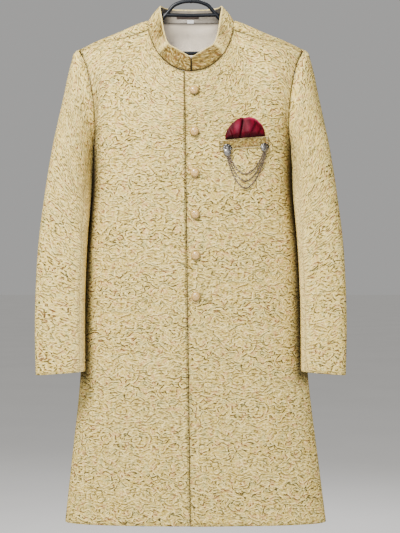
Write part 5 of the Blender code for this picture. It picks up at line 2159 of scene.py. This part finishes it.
# ---- Operators and panel ----


class SHERWANI_OT_fronts(bpy.types.Operator):
    """Cut the two fronts, which overlap at the button closing"""

    bl_idname = "sherwani.fronts"
    bl_label = "Fronts"

    def execute(self, context):
        make_fronts()
        return {"FINISHED"}


class SHERWANI_OT_back(bpy.types.Operator):
    """Cut the back, which is carried over the shoulders"""

    bl_idname = "sherwani.back"
    bl_label = "Back"

    def execute(self, context):
        make_back()
        return {"FINISHED"}


class SHERWANI_OT_sleeves(bpy.types.Operator):
    """Cut the top and under pieces of both sleeves"""

    bl_idname = "sherwani.sleeves"
    bl_label = "Sleeves"

    def execute(self, context):
        make_sleeves()
        return {"FINISHED"}


class SHERWANI_OT_collar(bpy.types.Operator):
    """Cut the stand collar and its lining"""

    bl_idname = "sherwani.collar"
    bl_label = "Collar"

    def execute(self, context):
        make_collar()
        return {"FINISHED"}


class SHERWANI_OT_lining(bpy.types.Operator):
    """Cut the satin lining of the back"""

    bl_idname = "sherwani.lining"
    bl_label = "Lining"

    def execute(self, context):
        make_lining()
        return {"FINISHED"}


class SHERWANI_OT_labels(bpy.types.Operator):
    """Sew the blank neck label and size tab inside the collar"""

    bl_idname = "sherwani.labels"
    bl_label = "Labels"

    def execute(self, context):
        make_labels()
        return {"FINISHED"}


class SHERWANI_OT_buttons(bpy.types.Operator):
    """Make the covered buttons down the closing"""

    bl_idname = "sherwani.buttons"
    bl_label = "Buttons"

    def execute(self, context):
        make_buttons()
        return {"FINISHED"}


class SHERWANI_OT_pocket(bpy.types.Operator):
    """Sew the slanted welt of the breast pocket"""

    bl_idname = "sherwani.pocket"
    bl_label = "Pocket welt"

    def execute(self, context):
        make_pocket()
        return {"FINISHED"}


class SHERWANI_OT_square(bpy.types.Operator):
    """Fold the satin square into the pocket"""

    bl_idname = "sherwani.square"
    bl_label = "Pocket square"

    def execute(self, context):
        make_square()
        return {"FINISHED"}


class SHERWANI_OT_brooches(bpy.types.Operator):
    """Make the two silver brooches at the pocket's ends"""

    bl_idname = "sherwani.brooches"
    bl_label = "Brooches"

    def execute(self, context):
        make_brooches()
        return {"FINISHED"}


class SHERWANI_OT_chains(bpy.types.Operator):
    """Hang the three link chains between the brooches"""

    bl_idname = "sherwani.chains"
    bl_label = "Chains"

    def execute(self, context):
        make_chains()
        return {"FINISHED"}


class SHERWANI_OT_hanger(bpy.types.Operator):
    """Mould the hanger's frame and hook"""

    bl_idname = "sherwani.hanger"
    bl_label = "Hanger"

    def execute(self, context):
        make_hanger()
        return {"FINISHED"}


class SHERWANI_OT_stage(bpy.types.Operator):
    """Set up the backdrop, lights and camera"""

    bl_idname = "sherwani.stage"
    bl_label = "Stage"

    def execute(self, context):
        make_stage()
        return {"FINISHED"}


class SHERWANI_PT_maker(bpy.types.Panel):
    """The steps that build the coat, in order"""

    bl_idname = "SHERWANI_PT_maker"
    bl_label = "Sherwani coat"
    bl_space_type = "VIEW_3D"
    bl_region_type = "UI"
    bl_category = "Sherwani"

    def draw(self, context):
        column = self.layout.column()
        for group in (cloth_settings(), trim_settings(), stage_settings()):
            for prop in type(group).__annotations__:
                column.prop(group, prop)
        for step in STEPS:
            column.operator(step.bl_idname)


SETTINGS = (ClothSettings, TrimSettings, StageSettings)
STEPS = (
    SHERWANI_OT_fronts,
    SHERWANI_OT_back,
    SHERWANI_OT_sleeves,
    SHERWANI_OT_collar,
    SHERWANI_OT_lining,
    SHERWANI_OT_labels,
    SHERWANI_OT_buttons,
    SHERWANI_OT_pocket,
    SHERWANI_OT_square,
    SHERWANI_OT_brooches,
    SHERWANI_OT_chains,
    SHERWANI_OT_hanger,
    SHERWANI_OT_stage,
)


def register():
    for item in (*SETTINGS, *STEPS, SHERWANI_PT_maker):
        bpy.utils.register_class(item)
    bpy.types.Scene.sherwani_cloth = PointerProperty(type=ClothSettings)
    bpy.types.Scene.sherwani_trim = PointerProperty(type=TrimSettings)
    bpy.types.Scene.sherwani_stage = PointerProperty(type=StageSettings)


def unregister():
    del bpy.types.Scene.sherwani_stage
    del bpy.types.Scene.sherwani_trim
    del bpy.types.Scene.sherwani_cloth
    for item in reversed((*SETTINGS, *STEPS, SHERWANI_PT_maker)):
        bpy.utils.unregister_class(item)


def main():
    register()
    bpy.ops.sherwani.fronts()
    bpy.ops.sherwani.back()
    bpy.ops.sherwani.sleeves()
    bpy.ops.sherwani.collar()
    bpy.ops.sherwani.lining()
    bpy.ops.sherwani.labels()
    bpy.ops.sherwani.buttons()
    bpy.ops.sherwani.pocket()
    bpy.ops.sherwani.square()
    bpy.ops.sherwani.brooches()
    bpy.ops.sherwani.chains()
    bpy.ops.sherwani.hanger()
    bpy.ops.sherwani.stage()


if __name__ == "__main__":
    main()
